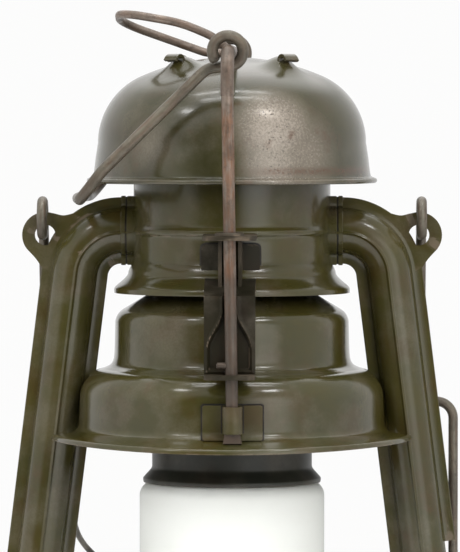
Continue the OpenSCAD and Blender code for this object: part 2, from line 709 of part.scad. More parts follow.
// Lever beside the right tube: its foot raises the gallery when the handle swings outwards
module lift_lever() color(bronze) {
  hook_z = flange_z + 8.9;
  upper_x = tube_x(hook_z) + 12.1;
  corner_x = tube_x(lever_z) + tube_r + lever_wire_r + 1.1;
  mid_z = globe_top - 19.7;
  rear_y = tube_r + lever_wire_r + 2.8;
  wire([
    [tube_x(hook_z) + 6.9, lever_y, hook_z], [upper_x, lever_y, hook_z],
    [upper_x, lever_y, mid_z], [corner_x, lever_y, lever_z],
    [corner_x, rear_y, lever_z], [lever_pivot_x, rear_y, lever_z],
    [lever_pivot_x, 0.5, lever_z], [lever_foot_x, 0.5, lever_z], [lever_foot_x, -9, lever_z]],
    [4.2, 40, 3, 3, 3, 3, 3], lever_wire_r);
}

module lever_bracket() color(olive) {
  ring_y = 4.6;
  ring_t = 1.8;
  low = lever_z - 9;
  tab_x = tube_x(lever_z - 6) - tube_flange + 0.2;
  difference() {
    union() {
      translate([lever_pivot_x, ring_y + ring_t, lever_z]) rotate([90, 0, 0])
        cylinder(h = ring_t, r = lever_ring_r);
      translate([lever_pivot_x - 2, ring_y, low]) cube([tab_x + 1.9 - lever_pivot_x + 2, ring_t, 9]);
      translate([tab_x, tube_t + seat_gap, low]) cube([1.9, ring_y, 5]);
    }
    translate([lever_pivot_x, ring_y - 1, lever_z]) rotate([-90, 0, 0])
      cylinder(h = ring_t + 2, r = lever_wire_r + run_gap);
  }
}

// Guard wires: each runs from high on one tube, round the globe, to low on the other
guard_low_z = gallery_z + 10.4;
guard_steps = 40;

module guard(high_z) {
  start = tube_x(high_z) - tube_flange + 1.1;
  end = tube_x(guard_low_z) - tube_flange + 1.1;
  bow = 2;
  end_y = tube_t + guard_wire_r + seat_gap;
  sides = 8;
  function at(t) = let (a = 180 * (1 - t), r = start + (end - start) * t + bow * sin(a))
    [r * cos(a), end_y + r * sin(a), high_z + (guard_low_z - high_z) * (t + 0.02 * sin(360 * t))];
  function ring(i) = let (p = at(i / guard_steps), q = at((i + 0.01) / guard_steps), d = unit(q - p),
      e = unit(cross(d, [0, 0, 1])), f = cross(e, d))
    [for (k = [0:sides - 1]) p + guard_wire_r * (e * cos(k * 360 / sides) + f * sin(k * 360 / sides))];
  points = [for (i = [0:guard_steps]) each ring(i)];
  quads = [for (i = [0:guard_steps - 1], k = [0:sides - 1]) let (n = (k + 1) % sides, b = i * sides)
    [b + k, b + n, b + sides + n, b + sides + k]];
  faces = [for (f = quads) each [[f[0], f[1], f[2]], [f[0], f[2], f[3]]]];
  first = [for (k = [1:sides - 2]) [0, k + 1, k]];
  last = [for (k = [1:sides - 2]) let (b = guard_steps * sides) [b, b + k, b + k + 1]];
  polyhedron(points, concat(faces, first, last));
}
module rear_guard() color(bronze) guard(globe_top - 8);
module front_guard() color(bronze) rotate([0, 0, 180]) guard(globe_top - 24);

tank_shell();
tank_bottom();
filler_neck();
filler_gasket();
filler_cap();
burner_collar();
burner_body();
burner_cone();
wick_tube();
wick();
wick_spindle();
wick_knob();
globe_gallery();
globe();
upper_globe_plate();
globe_collar();
front_clip();
rear_clip();
lift_wire();
top_handle();
crown();
hood();
hood_carrier();
front_guide();
rear_guide();
left_tube_front();
left_tube_rear();
right_tube_front();
right_tube_rear();
bail();
lever_bracket();
lift_lever();
front_guard();
rear_guard();
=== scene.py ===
import json
import math
import bmesh
import bpy
from mathutils import Matrix, Vector
from types import SimpleNamespace


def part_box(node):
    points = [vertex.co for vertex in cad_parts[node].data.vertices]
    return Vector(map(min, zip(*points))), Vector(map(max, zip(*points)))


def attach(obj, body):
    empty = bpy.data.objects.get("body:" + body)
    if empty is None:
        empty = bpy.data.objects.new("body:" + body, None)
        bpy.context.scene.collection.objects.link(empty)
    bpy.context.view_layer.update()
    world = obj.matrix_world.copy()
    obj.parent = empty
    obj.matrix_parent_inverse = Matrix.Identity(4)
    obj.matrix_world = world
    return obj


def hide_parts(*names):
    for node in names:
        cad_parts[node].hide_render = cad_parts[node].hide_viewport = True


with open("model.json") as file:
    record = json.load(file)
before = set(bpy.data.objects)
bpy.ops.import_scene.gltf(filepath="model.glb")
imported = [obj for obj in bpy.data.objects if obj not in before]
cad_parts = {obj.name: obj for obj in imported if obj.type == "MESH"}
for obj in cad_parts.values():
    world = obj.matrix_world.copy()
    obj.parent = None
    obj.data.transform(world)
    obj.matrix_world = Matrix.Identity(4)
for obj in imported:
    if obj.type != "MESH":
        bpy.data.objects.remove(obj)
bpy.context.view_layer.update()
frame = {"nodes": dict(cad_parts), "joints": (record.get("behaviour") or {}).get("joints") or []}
mm = 0.001  # sizes below are in millimetres, meshes are in metres
pivots = {joint["name"]: Vector(joint["pos_m"]) / mm for joint in frame["joints"] if "pos_m" in joint}


def span(node):
    low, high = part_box(node)
    return low / mm, high / mm


def settings(values):  # a dictionary's values, read by name
    return SimpleNamespace(**values)


# Camera at the photograph's angle
photoView = dict(width=460, height=552, azimuth=0.85, distance=1330, eyeZ=254, scale=4.0,
                 horizonRow=100, axisColumn=232.0, sensor=36)


def makeCamera():
    look = settings(photoView)
    turn = math.radians(look.azimuth)
    eye = Vector((math.sin(turn), -math.cos(turn), 0)) * look.distance + Vector((0, 0, look.eyeZ))
    right = Vector((math.cos(turn), math.sin(turn), 0))
    aim = Vector((0, 0, look.eyeZ - (look.height / 2 - look.horizonRow) / look.scale))
    aim -= right * (look.axisColumn - look.width / 2) / look.scale
    data = bpy.data.cameras.new("photoCamera")
    data.sensor_width = look.sensor
    data.lens = look.scale * look.distance * look.sensor / look.height
    camera = bpy.data.objects.new("photoCamera", data)
    camera.location = eye * mm
    camera.rotation_mode = "QUATERNION"
    camera.rotation_quaternion = (aim - eye).to_track_quat("-Z", "Y")
    bpy.context.scene.collection.objects.link(camera)
    bpy.context.scene.camera = camera


makeCamera()
print("camera placed")


# Outlines and paths
def arcPoints(centre, radius, start, end, count=10):
    turns = [math.radians(start + (end - start) * i / count) for i in range(count + 1)]
    return [(centre[0] + radius * math.cos(a), centre[1] + radius * math.sin(a)) for a in turns]


def unit(degrees):
    turn = math.radians(degrees)
    return Vector((math.cos(turn), math.sin(turn)))


def shifted(points, x, z):
    return [(x + a, z + b) for a, b in points]


def curveThrough(points, steps=5):  # smooth line through given points
    points = [Vector(p) for p in points]
    line = []
    for i in range(len(points) - 1):
        p0 = points[max(i - 1, 0)]
        p1 = points[i]
        p2 = points[i + 1]
        p3 = points[min(i + 2, len(points) - 1)]
        for k in range(steps):
            t = k / steps
            line.append((2 * p1 + (p2 - p0) * t + (2 * p0 - 5 * p1 + 4 * p2 - p3) * t ** 2
                         + (3 * p1 - p0 - 3 * p2 + p3) * t ** 3) / 2)
    return [tuple(p) for p in line + [points[-1]]]


def sheetLoop(outer, sheet):  # closed loop of a sheet whose outside runs from the top down
    inner = []
    for i, point in enumerate(outer):
        before = outer[max(i - 1, 0)]
        after = outer[min(i + 1, len(outer) - 1)]
        run = after[0] - before[0]
        rise = after[1] - before[1]
        size = math.hypot(run, rise)
        inner.append((max(point[0] + sheet * rise / size, 0), point[1] - sheet * run / size))
    return list(outer) + inner[::-1]


def spread(path, step):  # adds points along long straight stretches
    path = [Vector(p) for p in path]
    line = [path[0]]
    for first, second in zip(path, path[1:]):
        count = max(1, math.ceil((second - first).length / step))
        line += [first.lerp(second, (k + 1) / count) for k in range(count)]
    return line


def bentPath(points, bends, turnStep=7, step=4):  # a wire's line with each corner bent to its radius
    points = [Vector(p) for p in points]
    path = [points[0]]
    for i in range(1, len(points) - 1):
        a = (points[i] - points[i - 1]).normalized()
        b = (points[i + 1] - points[i]).normalized()
        turn = a.angle(b)
        inward = (b - a * a.dot(b)).normalized()
        start = points[i] - a * bends[i - 1] * math.tan(turn / 2)
        count = max(2, math.ceil(math.degrees(turn) / turnStep))
        for k in range(count + 1):
            t = turn * k / count
            path.append(start + (inward * (1 - math.cos(t)) + a * math.sin(t)) * bends[i - 1])
    return spread(path + [points[-1]], step)


def smoothRise(low, high, value):
    t = min(max((value - low) / (high - low), 0), 1)
    return t * t * (3 - 2 * t)


# Mesh building
def joinLoops(bm, first, second):
    for k in range(len(first)):
        n = (k + 1) % len(first)
        bm.faces.new((first[k], first[n], second[n], second[k]))


def addLathe(bm, loop, steps=128, shape=None, step=1.6):
    loop = [(p.x, p.y) for p in spread(list(loop) + [loop[0]], step)][:-1]
    rings = []
    for i in range(steps):
        turn = 2 * math.pi * i / steps
        ring = []
        for r, z in loop:
            out = shape(turn, r, z) if shape else r
            ring.append(bm.verts.new((out * math.cos(turn) * mm, out * math.sin(turn) * mm, z * mm)))
        rings.append(ring)
    for i in range(steps):
        joinLoops(bm, rings[i], rings[(i + 1) % steps])


def latheMesh(loop, steps=128, shape=None, step=1.6):
    bm = bmesh.new()
    addLathe(bm, loop, steps, shape, step)
    return bm


def addLoft(bm, rings):
    made = [[bm.verts.new(Vector(p) * mm) for p in ring] for ring in rings]
    for first, second in zip(made, made[1:]):
        joinLoops(bm, first, second)
    bm.faces.new(made[0])
    bm.faces.new(made[-1])


def addSweep(bm, path, radius, sides=18):  # round wire along a path, with rounded ends
    path = [Vector(p) for p in path]
    last = len(path) - 1
    tangents = [(path[min(i + 1, last)] - path[max(i - 1, 0)]).normalized() for i in range(last + 1)]
    side = tangents[0].orthogonal().normalized()
    length = 0
    rows = []
    for i, point in enumerate(path):
        if i:
            side = tangents[i - 1].rotation_difference(tangents[i]) @ side
            length += (point - path[i - 1]).length
        rows.append((point, side.copy(), tangents[i], radius, length))
    endDepth = 0.6  # how far a rounded end stands out, in radii

    def rounded(row, way):
        point, side, along, r, length = row
        turns = [math.radians(a) for a in (25, 50, 72)]
        return [(point + along * way * endDepth * r * math.sin(a), side, along, r * math.cos(a), length)
                for a in turns]

    rows = rounded(rows[0], -1)[::-1] + rows + rounded(rows[-1], 1)
    layer = bm.loops.layers.uv.verify()
    rings = []
    for point, side, along, r, length in rows:
        other = along.cross(side)
        ring = []
        for k in range(sides):
            a = 2 * math.pi * k / sides
            ring.append(bm.verts.new((point + (side * math.cos(a) + other * math.sin(a)) * r) * mm))
        rings.append(ring)
    for i in range(len(rows) - 1):
        for k in range(sides):
            n = (k + 1) % sides
            face = bm.faces.new((rings[i][k], rings[i][n], rings[i + 1][n], rings[i + 1][k]))
            places = ((k, i), (k + 1, i), (k + 1, i + 1), (k, i + 1))
            for loop, (u, v) in zip(face.loops, places):
                loop[layer].uv = (u / sides, rows[v][4] / 100)
    bm.faces.new(rings[0][::-1])
    bm.faces.new(rings[-1])


def addPlate(bm, outline, thickness, place=Matrix(), holes=()):  # flat plate in a plane, with holes
    edges = []
    for loop in (outline, *holes):
        ring = [bm.verts.new((place @ Vector((p[0], p[1], 0))) * mm) for p in loop]
        edges += [bm.edges.new((ring[i - 1], ring[i])) for i in range(len(ring))]
    filled = bmesh.ops.triangle_fill(bm, edges=edges, use_beauty=True)
    faces = [g for g in filled["geom"] if isinstance(g, bmesh.types.BMFace)]
    raised = bmesh.ops.extrude_face_region(bm, geom=faces)
    moved = [g for g in raised["geom"] if isinstance(g, bmesh.types.BMVert)]
    bmesh.ops.translate(bm, verts=moved, vec=(place.to_3x3() @ Vector((0, 0, thickness))) * mm)


def lifted(z):
    return Matrix.Translation(Vector((0, 0, z)))


def addBox(bm, low, high):
    corners = [(low[0], low[1]), (high[0], low[1]), (high[0], high[1]), (low[0], high[1])]
    addPlate(bm, corners, high[2] - low[2], lifted(low[2]))


def roundedRect(xLow, yLow, xHigh, yHigh, corner, corners=(1, 1, 1, 1)):  # from the lower left, round
    middle = [(xLow, yLow, 180), (xHigh, yLow, 270), (xHigh, yHigh, 0), (xLow, yHigh, 90)]
    outline = []
    for (x, y, start), keep in zip(middle, corners):
        r = corner * keep + 0.05
        cx = x + r if x == xLow else x - r
        cy = y + r if y == yLow else y - r
        outline += arcPoints((cx, cy), r, start, start + 90, 5)
    return outline


def upright(x=0, y=0, z=0):  # plane that stands in X and Z, with its thickness towards the front
    return Matrix.Translation(Vector((x, y, z))) @ Matrix.Rotation(math.radians(90), 4, "X")


def meshOf(name, bm):
    bmesh.ops.remove_doubles(bm, verts=bm.verts, dist=1e-6)
    loose = [e for e in bm.edges if not e.link_faces]
    bmesh.ops.delete(bm, geom=loose, context="EDGES")
    bmesh.ops.recalc_face_normals(bm, faces=bm.faces)
    mesh = bpy.data.meshes.new(name)
    bm.to_mesh(mesh)
    bm.free()
    return mesh


def carved(mesh, cutter):  # the mesh with another one cut away
    pair = [bpy.data.objects.new("carving", m) for m in (mesh, cutter)]
    for thing in pair:
        bpy.context.scene.collection.objects.link(thing)
    cut = pair[0].modifiers.new("cut", "BOOLEAN")
    cut.operation = "DIFFERENCE"
    cut.solver = "EXACT"
    cut.object = pair[1]
    graph = bpy.context.evaluated_depsgraph_get()
    result = bpy.data.meshes.new_from_object(pair[0].evaluated_get(graph))
    for thing in pair:
        bpy.data.objects.remove(thing)
    return result


def makePiece(name, bm, finish, body, nodes=(), bevel=0, sharp=38, cutter=None, turn=0):
    if turn:
        bmesh.ops.rotate(bm, verts=bm.verts, cent=(0, 0, 0), matrix=Matrix.Rotation(turn, 3, "Z"))
    mesh = meshOf(name, bm)
    if cutter:
        mesh = carved(mesh, cutter)
        mesh.name = name
    mesh.shade_smooth()
    mesh.set_sharp_from_angle(angle=math.radians(sharp))
    mesh.materials.clear()
    mesh.materials.append(finish)
    piece = bpy.data.objects.new(name, mesh)
    bpy.context.scene.collection.objects.link(piece)
    if bevel:
        edges = piece.modifiers.new("edges", "BEVEL")
        edges.width = bevel * mm
        edges.segments = 2
        edges.limit_method = "ANGLE"
        edges.angle_limit = math.radians(40)
        edges.harden_normals = True
    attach(piece, body)
    if nodes:
        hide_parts(*nodes)


def wirePiece(name, path, radius, body, node, sides=18):
    bm = bmesh.new()
    addSweep(bm, path, radius, sides)
    makePiece(name, bm, handleWire, body, [node])


# Shader node groups
def isSocket(value):
    return isinstance(value, bpy.types.NodeSocket)


def feed(target, source):
    if isSocket(source):
        target.id_data.links.new(source, target)
    else:
        target.default_value = source


def newNode(kind, *sources):  # in the node tree that the linked sources belong to
    tree = next(source.id_data for source in sources if isSocket(source))
    item = tree.nodes.new("ShaderNode" + kind)
    for target, source in zip(item.inputs, sources):
        feed(target, source)
    return item


def calc(operation, a, b=0.5):
    item = newNode("Math", a, b)
    item.operation = operation
    return item.outputs[0]


def times(a, b):
    return calc("MULTIPLY", a, b)


def plus(a, b):
    return calc("ADD", a, b)


def minus(a, b):
    return calc("SUBTRACT", a, b)


def larger(a, b):
    return calc("MAXIMUM", a, b)


def measure(operation, a, b):
    item = newNode("VectorMath", a, b)
    item.operation = operation
    return item.outputs["Value"]


def ramp(value, low, high, start=0.0, end=1.0):
    item = newNode("MapRange", value, low, high, start, end)
    item.interpolation_type = "SMOOTHSTEP"
    return item.outputs[0]


def noise(vector, scale, detail=4.0, rough=0.6):
    item = newNode("TexNoise", vector)
    for label, source in (("Scale", scale), ("Detail", detail), ("Roughness", rough)):
        feed(item.inputs[label], source)
    return item.outputs[0]


def tint(mask, a, b):
    item = newNode("Mix", mask)
    item.data_type = "RGBA"
    feed(item.inputs[6], a)
    feed(item.inputs[7], b)
    return item.outputs[2]


def newGroup(name, inputs, outputs):
    group = bpy.data.node_groups.new(name, "ShaderNodeTree")
    for label, value in inputs.items():
        kind = "NodeSocketFloat" if isinstance(value, float) else "NodeSocketVector"
        made = group.interface.new_socket(label, in_out="INPUT", socket_type=kind)
        made.default_value = value
    for label in outputs:
        group.interface.new_socket(label, in_out="OUTPUT", socket_type="NodeSocketFloat")
    source = group.nodes.new("NodeGroupInput").outputs
    target = group.nodes.new("NodeGroupOutput").inputs
    return group, source, target


def makeEdgeWearAndCornerShade():  # where convex edges are rubbed bare, and where concave corners get painted shade
    tree, given, out = newGroup("edgeWearAndCornerShade", {"Vector": (0, 0, 0), "Reach": 0.05, "Scale": 300.0},
                                ("Worn", "Corner"))
    bend = tree.nodes.new("ShaderNodeNewGeometry").outputs["Pointiness"]
    patch = ramp(noise(given["Vector"], given["Scale"]), 0.36, 0.62, 0.15, 1.0)
    rub = ramp(bend, 0.52, plus(given["Reach"], 0.52))
    feed(out["Worn"], times(rub, patch))
    # painted shade: the Corner mask marks concave corners for darkening
    feed(out["Corner"], ramp(bend, 0.5, minus(0.495, given["Reach"])))
    return tree


def makeMottling():  # soft cloudy patches
    tree, given, out = newGroup("mottling", {"Vector": (0, 0, 0), "Scale": 60.0, "Level": 0.5, "Soft": 0.1},
                                ("Mask",))
    cloud = noise(given["Vector"], given["Scale"], 6.0, 0.62)
    low = minus(given["Level"], given["Soft"])
    high = plus(given["Level"], given["Soft"])
    feed(out["Mask"], ramp(cloud, low, high))
    return tree


def makeSpecks():  # small pits and spots
    tree, given, out = newGroup("specks", {"Vector": (0, 0, 0), "Scale": 900.0, "Share": 0.3}, ("Mask",))
    cells = newNode("TexVoronoi", given["Vector"])
    feed(cells.inputs["Scale"], given["Scale"])
    dot = ramp(cells.outputs["Distance"], 0.5, 0.15)
    pick = newNode("SeparateColor", cells.outputs["Color"])
    chosen = calc("LESS_THAN", pick.outputs[0], given["Share"])
    feed(out["Mask"], times(dot, chosen))
    return tree


def makeNear():  # fades with the distance from a place on the object
    sockets = {"Vector": (0, 0, 0), "Centre": (0, 0, 0), "Inner": 0.01, "Outer": 0.02}
    tree, given, out = newGroup("near", sockets, ("Mask",))
    away = measure("DISTANCE", given["Vector"], given["Centre"])
    feed(out["Mask"], ramp(away, given["Outer"], given["Inner"]))
    return tree


edgeWearAndCornerShade = makeEdgeWearAndCornerShade()
mottling = makeMottling()
specks = makeSpecks()
near = makeNear()


def effect(group, **values):
    item = values["Vector"].id_data.nodes.new("ShaderNodeGroup")
    item.node_tree = group
    for label, value in values.items():
        feed(item.inputs[label], value)
    return item.outputs


def clouds(vector, scale, level, soft):
    return effect(mottling, Vector=vector, Scale=scale, Level=level, Soft=soft)["Mask"]


def newFinish(name):
    finish = bpy.data.materials.new(name)
    finish.use_nodes = True
    tree = finish.node_tree
    places = tree.nodes.new("ShaderNodeTexCoord").outputs
    return finish, tree.nodes["Principled BSDF"].inputs, places


def bump(inputs, height, strength, distance):
    item = height.id_data.nodes.new("ShaderNodeBump")
    item.inputs["Strength"].default_value = strength
    item.inputs["Distance"].default_value = distance * mm
    feed(item.inputs["Height"], height)
    feed(inputs["Normal"], item.outputs["Normal"])


# Finishes
# clouds and grain give scale, level and softness, and bump gives strength and depth
paintLook = dict(olive=(0.038, 0.032, 0.007, 1), green=(0.033, 0.031, 0.010, 1),
                 brown=(0.038, 0.026, 0.007, 1), patina=(0.090, 0.070, 0.046, 1),
                 bare=(0.420, 0.370, 0.320, 1), rubbed=(0.110, 0.084, 0.060, 1),
                 dirt=(0.012, 0.010, 0.007, 1), rust=(0.060, 0.026, 0.012, 1), gloss=0.2, dull=0.34,
                 coat=0.25, coatGloss=0.1, specular=0.36, shine=0.8, edge=0.08, edgeScale=240.0,
                 speckShare=0.12, speckScale=2100.0, rippleScale=160.0, wornShare=0.12, brownShare=0.7,
                 patinaShare=0.75, agedShare=0.2, dirtShare=0.6, edgeShare=0.7, bareShare=(0.28, 0.52),
                 bump=(0.5, 0.12), shadeClouds=(42.0, 0.5, 0.16), brownClouds=(95.0, 0.57, 0.1),
                 fineGrain=(1900.0, 0.5, 0.2), rustClouds=(120.0, 0.68, 0.07), wornClouds=(70.0, 0.56, 0.12))


def makePaint(name, wearAndSheenSpots=(), rustLine=None, **changes):
    look = settings({**paintLook, **changes})
    finish, inputs, places = newFinish(name)
    at = places["Object"]
    edges = effect(edgeWearAndCornerShade, Vector=at, Reach=look.edge, Scale=look.edgeScale)
    shade = clouds(at, *look.shadeClouds)
    browned = clouds(at, *look.brownClouds)
    fine = clouds(at, *look.fineGrain)
    rusty = clouds(at, *look.rustClouds)
    dots = effect(specks, Vector=at, Scale=look.speckScale, Share=look.speckShare)["Mask"]
    wornAndSheen = times(clouds(at, *look.wornClouds), look.wornShare)
    for centre, inner, outer, weight in wearAndSheenSpots:  # worn places in millimetres; on the hood they lie where the sheen falls, so their light bare colour is partly painted sheen
        spot = effect(near, Vector=at, Centre=Vector(centre) * mm, Inner=inner * mm, Outer=outer * mm)
        wornAndSheen = larger(wornAndSheen, times(spot["Mask"], weight))
    aged = plus(wornAndSheen, look.agedShare)
    pitted = times(dots, wornAndSheen)
    rubbed = times(wornAndSheen, ramp(fine, 0.0, 1.0, *look.bareShare))
    colour = tint(shade, look.olive, look.green)
    colour = tint(times(browned, look.brownShare), colour, look.brown)
    colour = tint(times(wornAndSheen, look.patinaShare), colour, look.patina)
    # light bare colour: worn metal, and on the hood's spots partly painted sheen
    colour = tint(rubbed, colour, look.bare)
    colour = tint(times(rusty, aged), colour, look.rust)
    if rustLine:  # a line of rust along the right half of the rim
        level, reach = rustLine
        axes = newNode("SeparateXYZ", at).outputs
        away = calc("ABSOLUTE", minus(axes["Z"], level * mm))
        line = times(ramp(away, reach * mm, 0.0), ramp(axes["X"], 0.0, 12 * mm))
        colour = tint(times(line, fine), colour, look.rust)
    colour = tint(pitted, colour, look.dirt)
    # painted shade: concave corners are darkened towards the near-black colour
    colour = tint(times(edges["Corner"], look.dirtShare), colour, look.dirt)
    feed(inputs["Base Color"], tint(times(edges["Worn"], look.edgeShare), colour, look.rubbed))
    dulling = larger(times(fine, aged), edges["Worn"])
    feed(inputs["Roughness"], ramp(dulling, 0.0, 1.0, look.gloss, look.dull))
    if look.coat:
        feed(inputs["Coat Weight"], ramp(dulling, 0.1, 0.7, look.coat, 0.0))
    feed(inputs["Metallic"], times(rubbed, look.shine))
    inputs["Coat Roughness"].default_value = look.coatGloss
    inputs["Specular IOR Level"].default_value = look.specular
    ripple = times(noise(at, look.rippleScale, 2.0), 0.5)
    bump(inputs, minus(plus(ripple, times(fine, 0.1)), pitted), *look.bump)
    return finish


wireLook = dict(grey=(0.112, 0.102, 0.076, 1), bronze=(0.092, 0.066, 0.045, 1),
                dark=(0.034, 0.027, 0.020, 1), orange=(0.150, 0.060, 0.022, 1), streaks=(5.0, 9.0, 1.0),
                streakClouds=(1.6, 0.5, 0.14), darkClouds=(130.0, 0.5, 0.14), spotClouds=(700.0, 0.6, 0.08),
                gloss=0.34, dull=0.5, metal=0.25, orangeShare=0.6, orangeFade=2, shelterShare=0.7,
                shelterFade=8, darkShare=0.6, spotShare=0.5, bump=(0.4, 0.1))


def makeWire(name, orangeBelow=None, paintedShadeBelow=None, **changes):
    look = settings({**wireLook, **changes})
    finish, inputs, places = newFinish(name)
    at = places["Object"]
    along = newNode("Mapping", places["UV"])
    along.inputs["Scale"].default_value = look.streaks
    streak = clouds(along.outputs[0], *look.streakClouds)
    patch = clouds(at, *look.darkClouds)
    spotted = clouds(at, *look.spotClouds)
    colour = tint(streak, look.grey, look.bronze)
    if orangeBelow:
        height = newNode("SeparateXYZ", at).outputs["Z"]
        below = ramp(height, orangeBelow * mm, (orangeBelow - look.orangeFade) * mm)
        colour = tint(times(below, times(streak, look.orangeShare)), colour, look.orange)
        low = ramp(height, paintedShadeBelow * mm, (paintedShadeBelow - look.shelterFade) * mm)  # painted shade: the rod darker from the guide downwards
        colour = tint(times(low, look.shelterShare), colour, look.dark)
    colour = tint(times(patch, look.darkShare), colour, look.dark)
    feed(inputs["Base Color"], tint(times(spotted, look.spotShare), colour, look.dark))
    feed(inputs["Roughness"], ramp(patch, 0.0, 1.0, look.gloss, look.dull))
    inputs["Metallic"].default_value = look.metal
    bump(inputs, plus(times(spotted, -0.6), times(streak, 0.4)), *look.bump)
    return finish


glassLook = dict(pale=(0.89, 0.90, 0.87, 1), shade=(0.855, 0.865, 0.83, 1), shadeClouds=(30.0, 0.5, 0.2),
                 grainScale=2600.0, gloss=0.55, dull=0.72, clear=0.35, refraction=1.45, bump=(0.25, 0.05))


def makeGlass():
    look = settings(glassLook)
    finish, inputs, places = newFinish("frostedGlass")
    at = places["Object"]
    grain = noise(at, look.grainScale, 2.0)
    feed(inputs["Base Color"], tint(clouds(at, *look.shadeClouds), look.shade, look.pale))
    feed(inputs["Roughness"], ramp(grain, 0.3, 0.7, look.gloss, look.dull))
    inputs["Transmission Weight"].default_value = look.clear
    inputs["IOR"].default_value = look.refraction
    bump(inputs, grain, *look.bump)
    return finish


brassLook = dict(brass=(0.42, 0.29, 0.10, 1), stained=(0.16, 0.10, 0.045, 1), rubbed=(0.62, 0.45, 0.18, 1),
                 dirt=(0.04, 0.03, 0.02, 1), stainClouds=(110.0, 0.52, 0.14), edge=0.06, edgeScale=260.0,
                 rippleScale=500.0, gloss=0.28, dull=0.5, metal=0.9, bump=(0.25, 0.08))


def makeBrass():
    look = settings(brassLook)
    finish, inputs, places = newFinish("dullBrass")
    at = places["Object"]
    edges = effect(edgeWearAndCornerShade, Vector=at, Reach=look.edge, Scale=look.edgeScale)
    stain = clouds(at, *look.stainClouds)
    colour = tint(stain, look.brass, look.stained)
    colour = tint(edges["Worn"], colour, look.rubbed)
    # painted shade: concave corners are darkened
    feed(inputs["Base Color"], tint(edges["Corner"], colour, look.dirt))
    feed(inputs["Roughness"], ramp(stain, 0.0, 1.0, look.gloss, look.dull))
    inputs["Metallic"].default_value = look.metal
    bump(inputs, noise(at, look.rippleScale, 3.0), *look.bump)
    return finish


cottonLook = dict(shade=(0.46, 0.41, 0.30, 1), thread=(0.70, 0.66, 0.54, 1), char=(0.02, 0.018, 0.015, 1),
                  weaveScale=420.0, sway=1.5, charFrom=5, charFade=4, dull=0.9, bump=(0.6, 0.3))


def makeCotton():
    look = settings(cottonLook)
    finish, inputs, places = newFinish("cottonWick")
    at = places["Object"]
    weave = newNode("TexWave", at)
    weave.bands_direction = "Z"
    weave.inputs["Scale"].default_value = look.weaveScale
    weave.inputs["Distortion"].default_value = look.sway
    threads = weave.outputs["Fac"]
    tip = (span("wick")[1].z - look.charFrom) * mm
    charred = ramp(newNode("SeparateXYZ", at).outputs["Z"], tip, tip + look.charFade * mm)
    colour = tint(threads, look.shade, look.thread)
    feed(inputs["Base Color"], tint(charred, colour, look.char))
    inputs["Roughness"].default_value = look.dull
    bump(inputs, threads, *look.bump)
    return finish


corkLook = dict(cork=(0.30, 0.19, 0.10, 1), dark=(0.16, 0.09, 0.05, 1), grain=(900.0, 0.5, 0.15), dull=0.85,
                bump=(0.4, 0.2))


def makeCork():
    look = settings(corkLook)
    finish, inputs, places = newFinish("corkSeal")
    grain = clouds(places["Object"], *look.grain)
    feed(inputs["Base Color"], tint(grain, look.cork, look.dark))
    inputs["Roughness"].default_value = look.dull
    bump(inputs, grain, *look.bump)
    return finish


paint = makePaint("olivePaint")
# these spots sit where the sheen falls on the hood: partly real wear, partly painted sheen
hoodPaint = makePaint("hoodPaint", wearAndSheenSpots=[((11, -31, 247), 2, 14, 1.0), ((-19, -26, 243), 0, 10, 0.35),
                                           ((17, -29, 241), 1, 15, 0.6), ((11, -32, 239), 2, 12, 0.75)],
                      rustLine=(236.6, 1.6), rustClouds=(120.0, 0.62, 0.07), specular=0.5,
                      olive=(0.028, 0.024, 0.006, 1), green=(0.024, 0.023, 0.008, 1),
                      brown=(0.028, 0.020, 0.006, 1))
platePaint = makePaint("platePaint", gloss=0.15, coat=0.25)
guidePaint = makePaint("guidePaint", olive=(0.013, 0.011, 0.006, 1), green=(0.011, 0.010, 0.006, 1),
                       brown=(0.016, 0.011, 0.007, 1), gloss=0.42, dull=0.55, coat=0.0, specular=0.12)
clipPaint = makePaint("clipPaint", olive=(0.034, 0.026, 0.008, 1), brown=(0.038, 0.025, 0.009, 1),
                      gloss=0.3, coat=0.0, specular=0.2)
socketPaint = makePaint("socketPaint", rubbed=(0.042, 0.036, 0.012, 1), gloss=0.26, coat=0.1, specular=0.3)
darkPaint = makePaint("darkPaint", olive=(0.016, 0.016, 0.011, 1), green=(0.013, 0.014, 0.010, 1),
                      brown=(0.018, 0.014, 0.009, 1), gloss=0.42, dull=0.6, coat=0.0)
# the rod is painted darker from the guide downwards, as painted shade
rodWire = makeWire("rodWire", orangeBelow=254, paintedShadeBelow=216, grey=(0.165, 0.130, 0.104, 1),
                   bronze=(0.115, 0.076, 0.055, 1))
handleWire = makeWire("handleWire")
# painted shade: a near-black paint for sheets laid in the gaps between parts
gapShadePaint = makePaint("gapShadePaint", olive=(0.006, 0.005, 0.004, 1), green=(0.005, 0.005, 0.004, 1),
                      brown=(0.009, 0.006, 0.004, 1), rubbed=(0.012, 0.009, 0.006, 1), gloss=0.6, dull=0.7,
                      coat=0.0)
frostedGlass = makeGlass()
brass = makeBrass()
cotton = makeCotton()
cork = makeCork()
print("finishes made")


# Hood with its rolled rim
hoodShape = dict(capRadius=56.6, shoulderRadius=18.2, wallRadius=33.5, footRadius=34.6, sheet=0.8,
                 roll=0.65, skirt=[(-0.55, 6.5), (0, 2.2), (0.4, 1.6)], bumpAt=17.8, bumpHeight=2.9,
                 bumpReach=3.9)


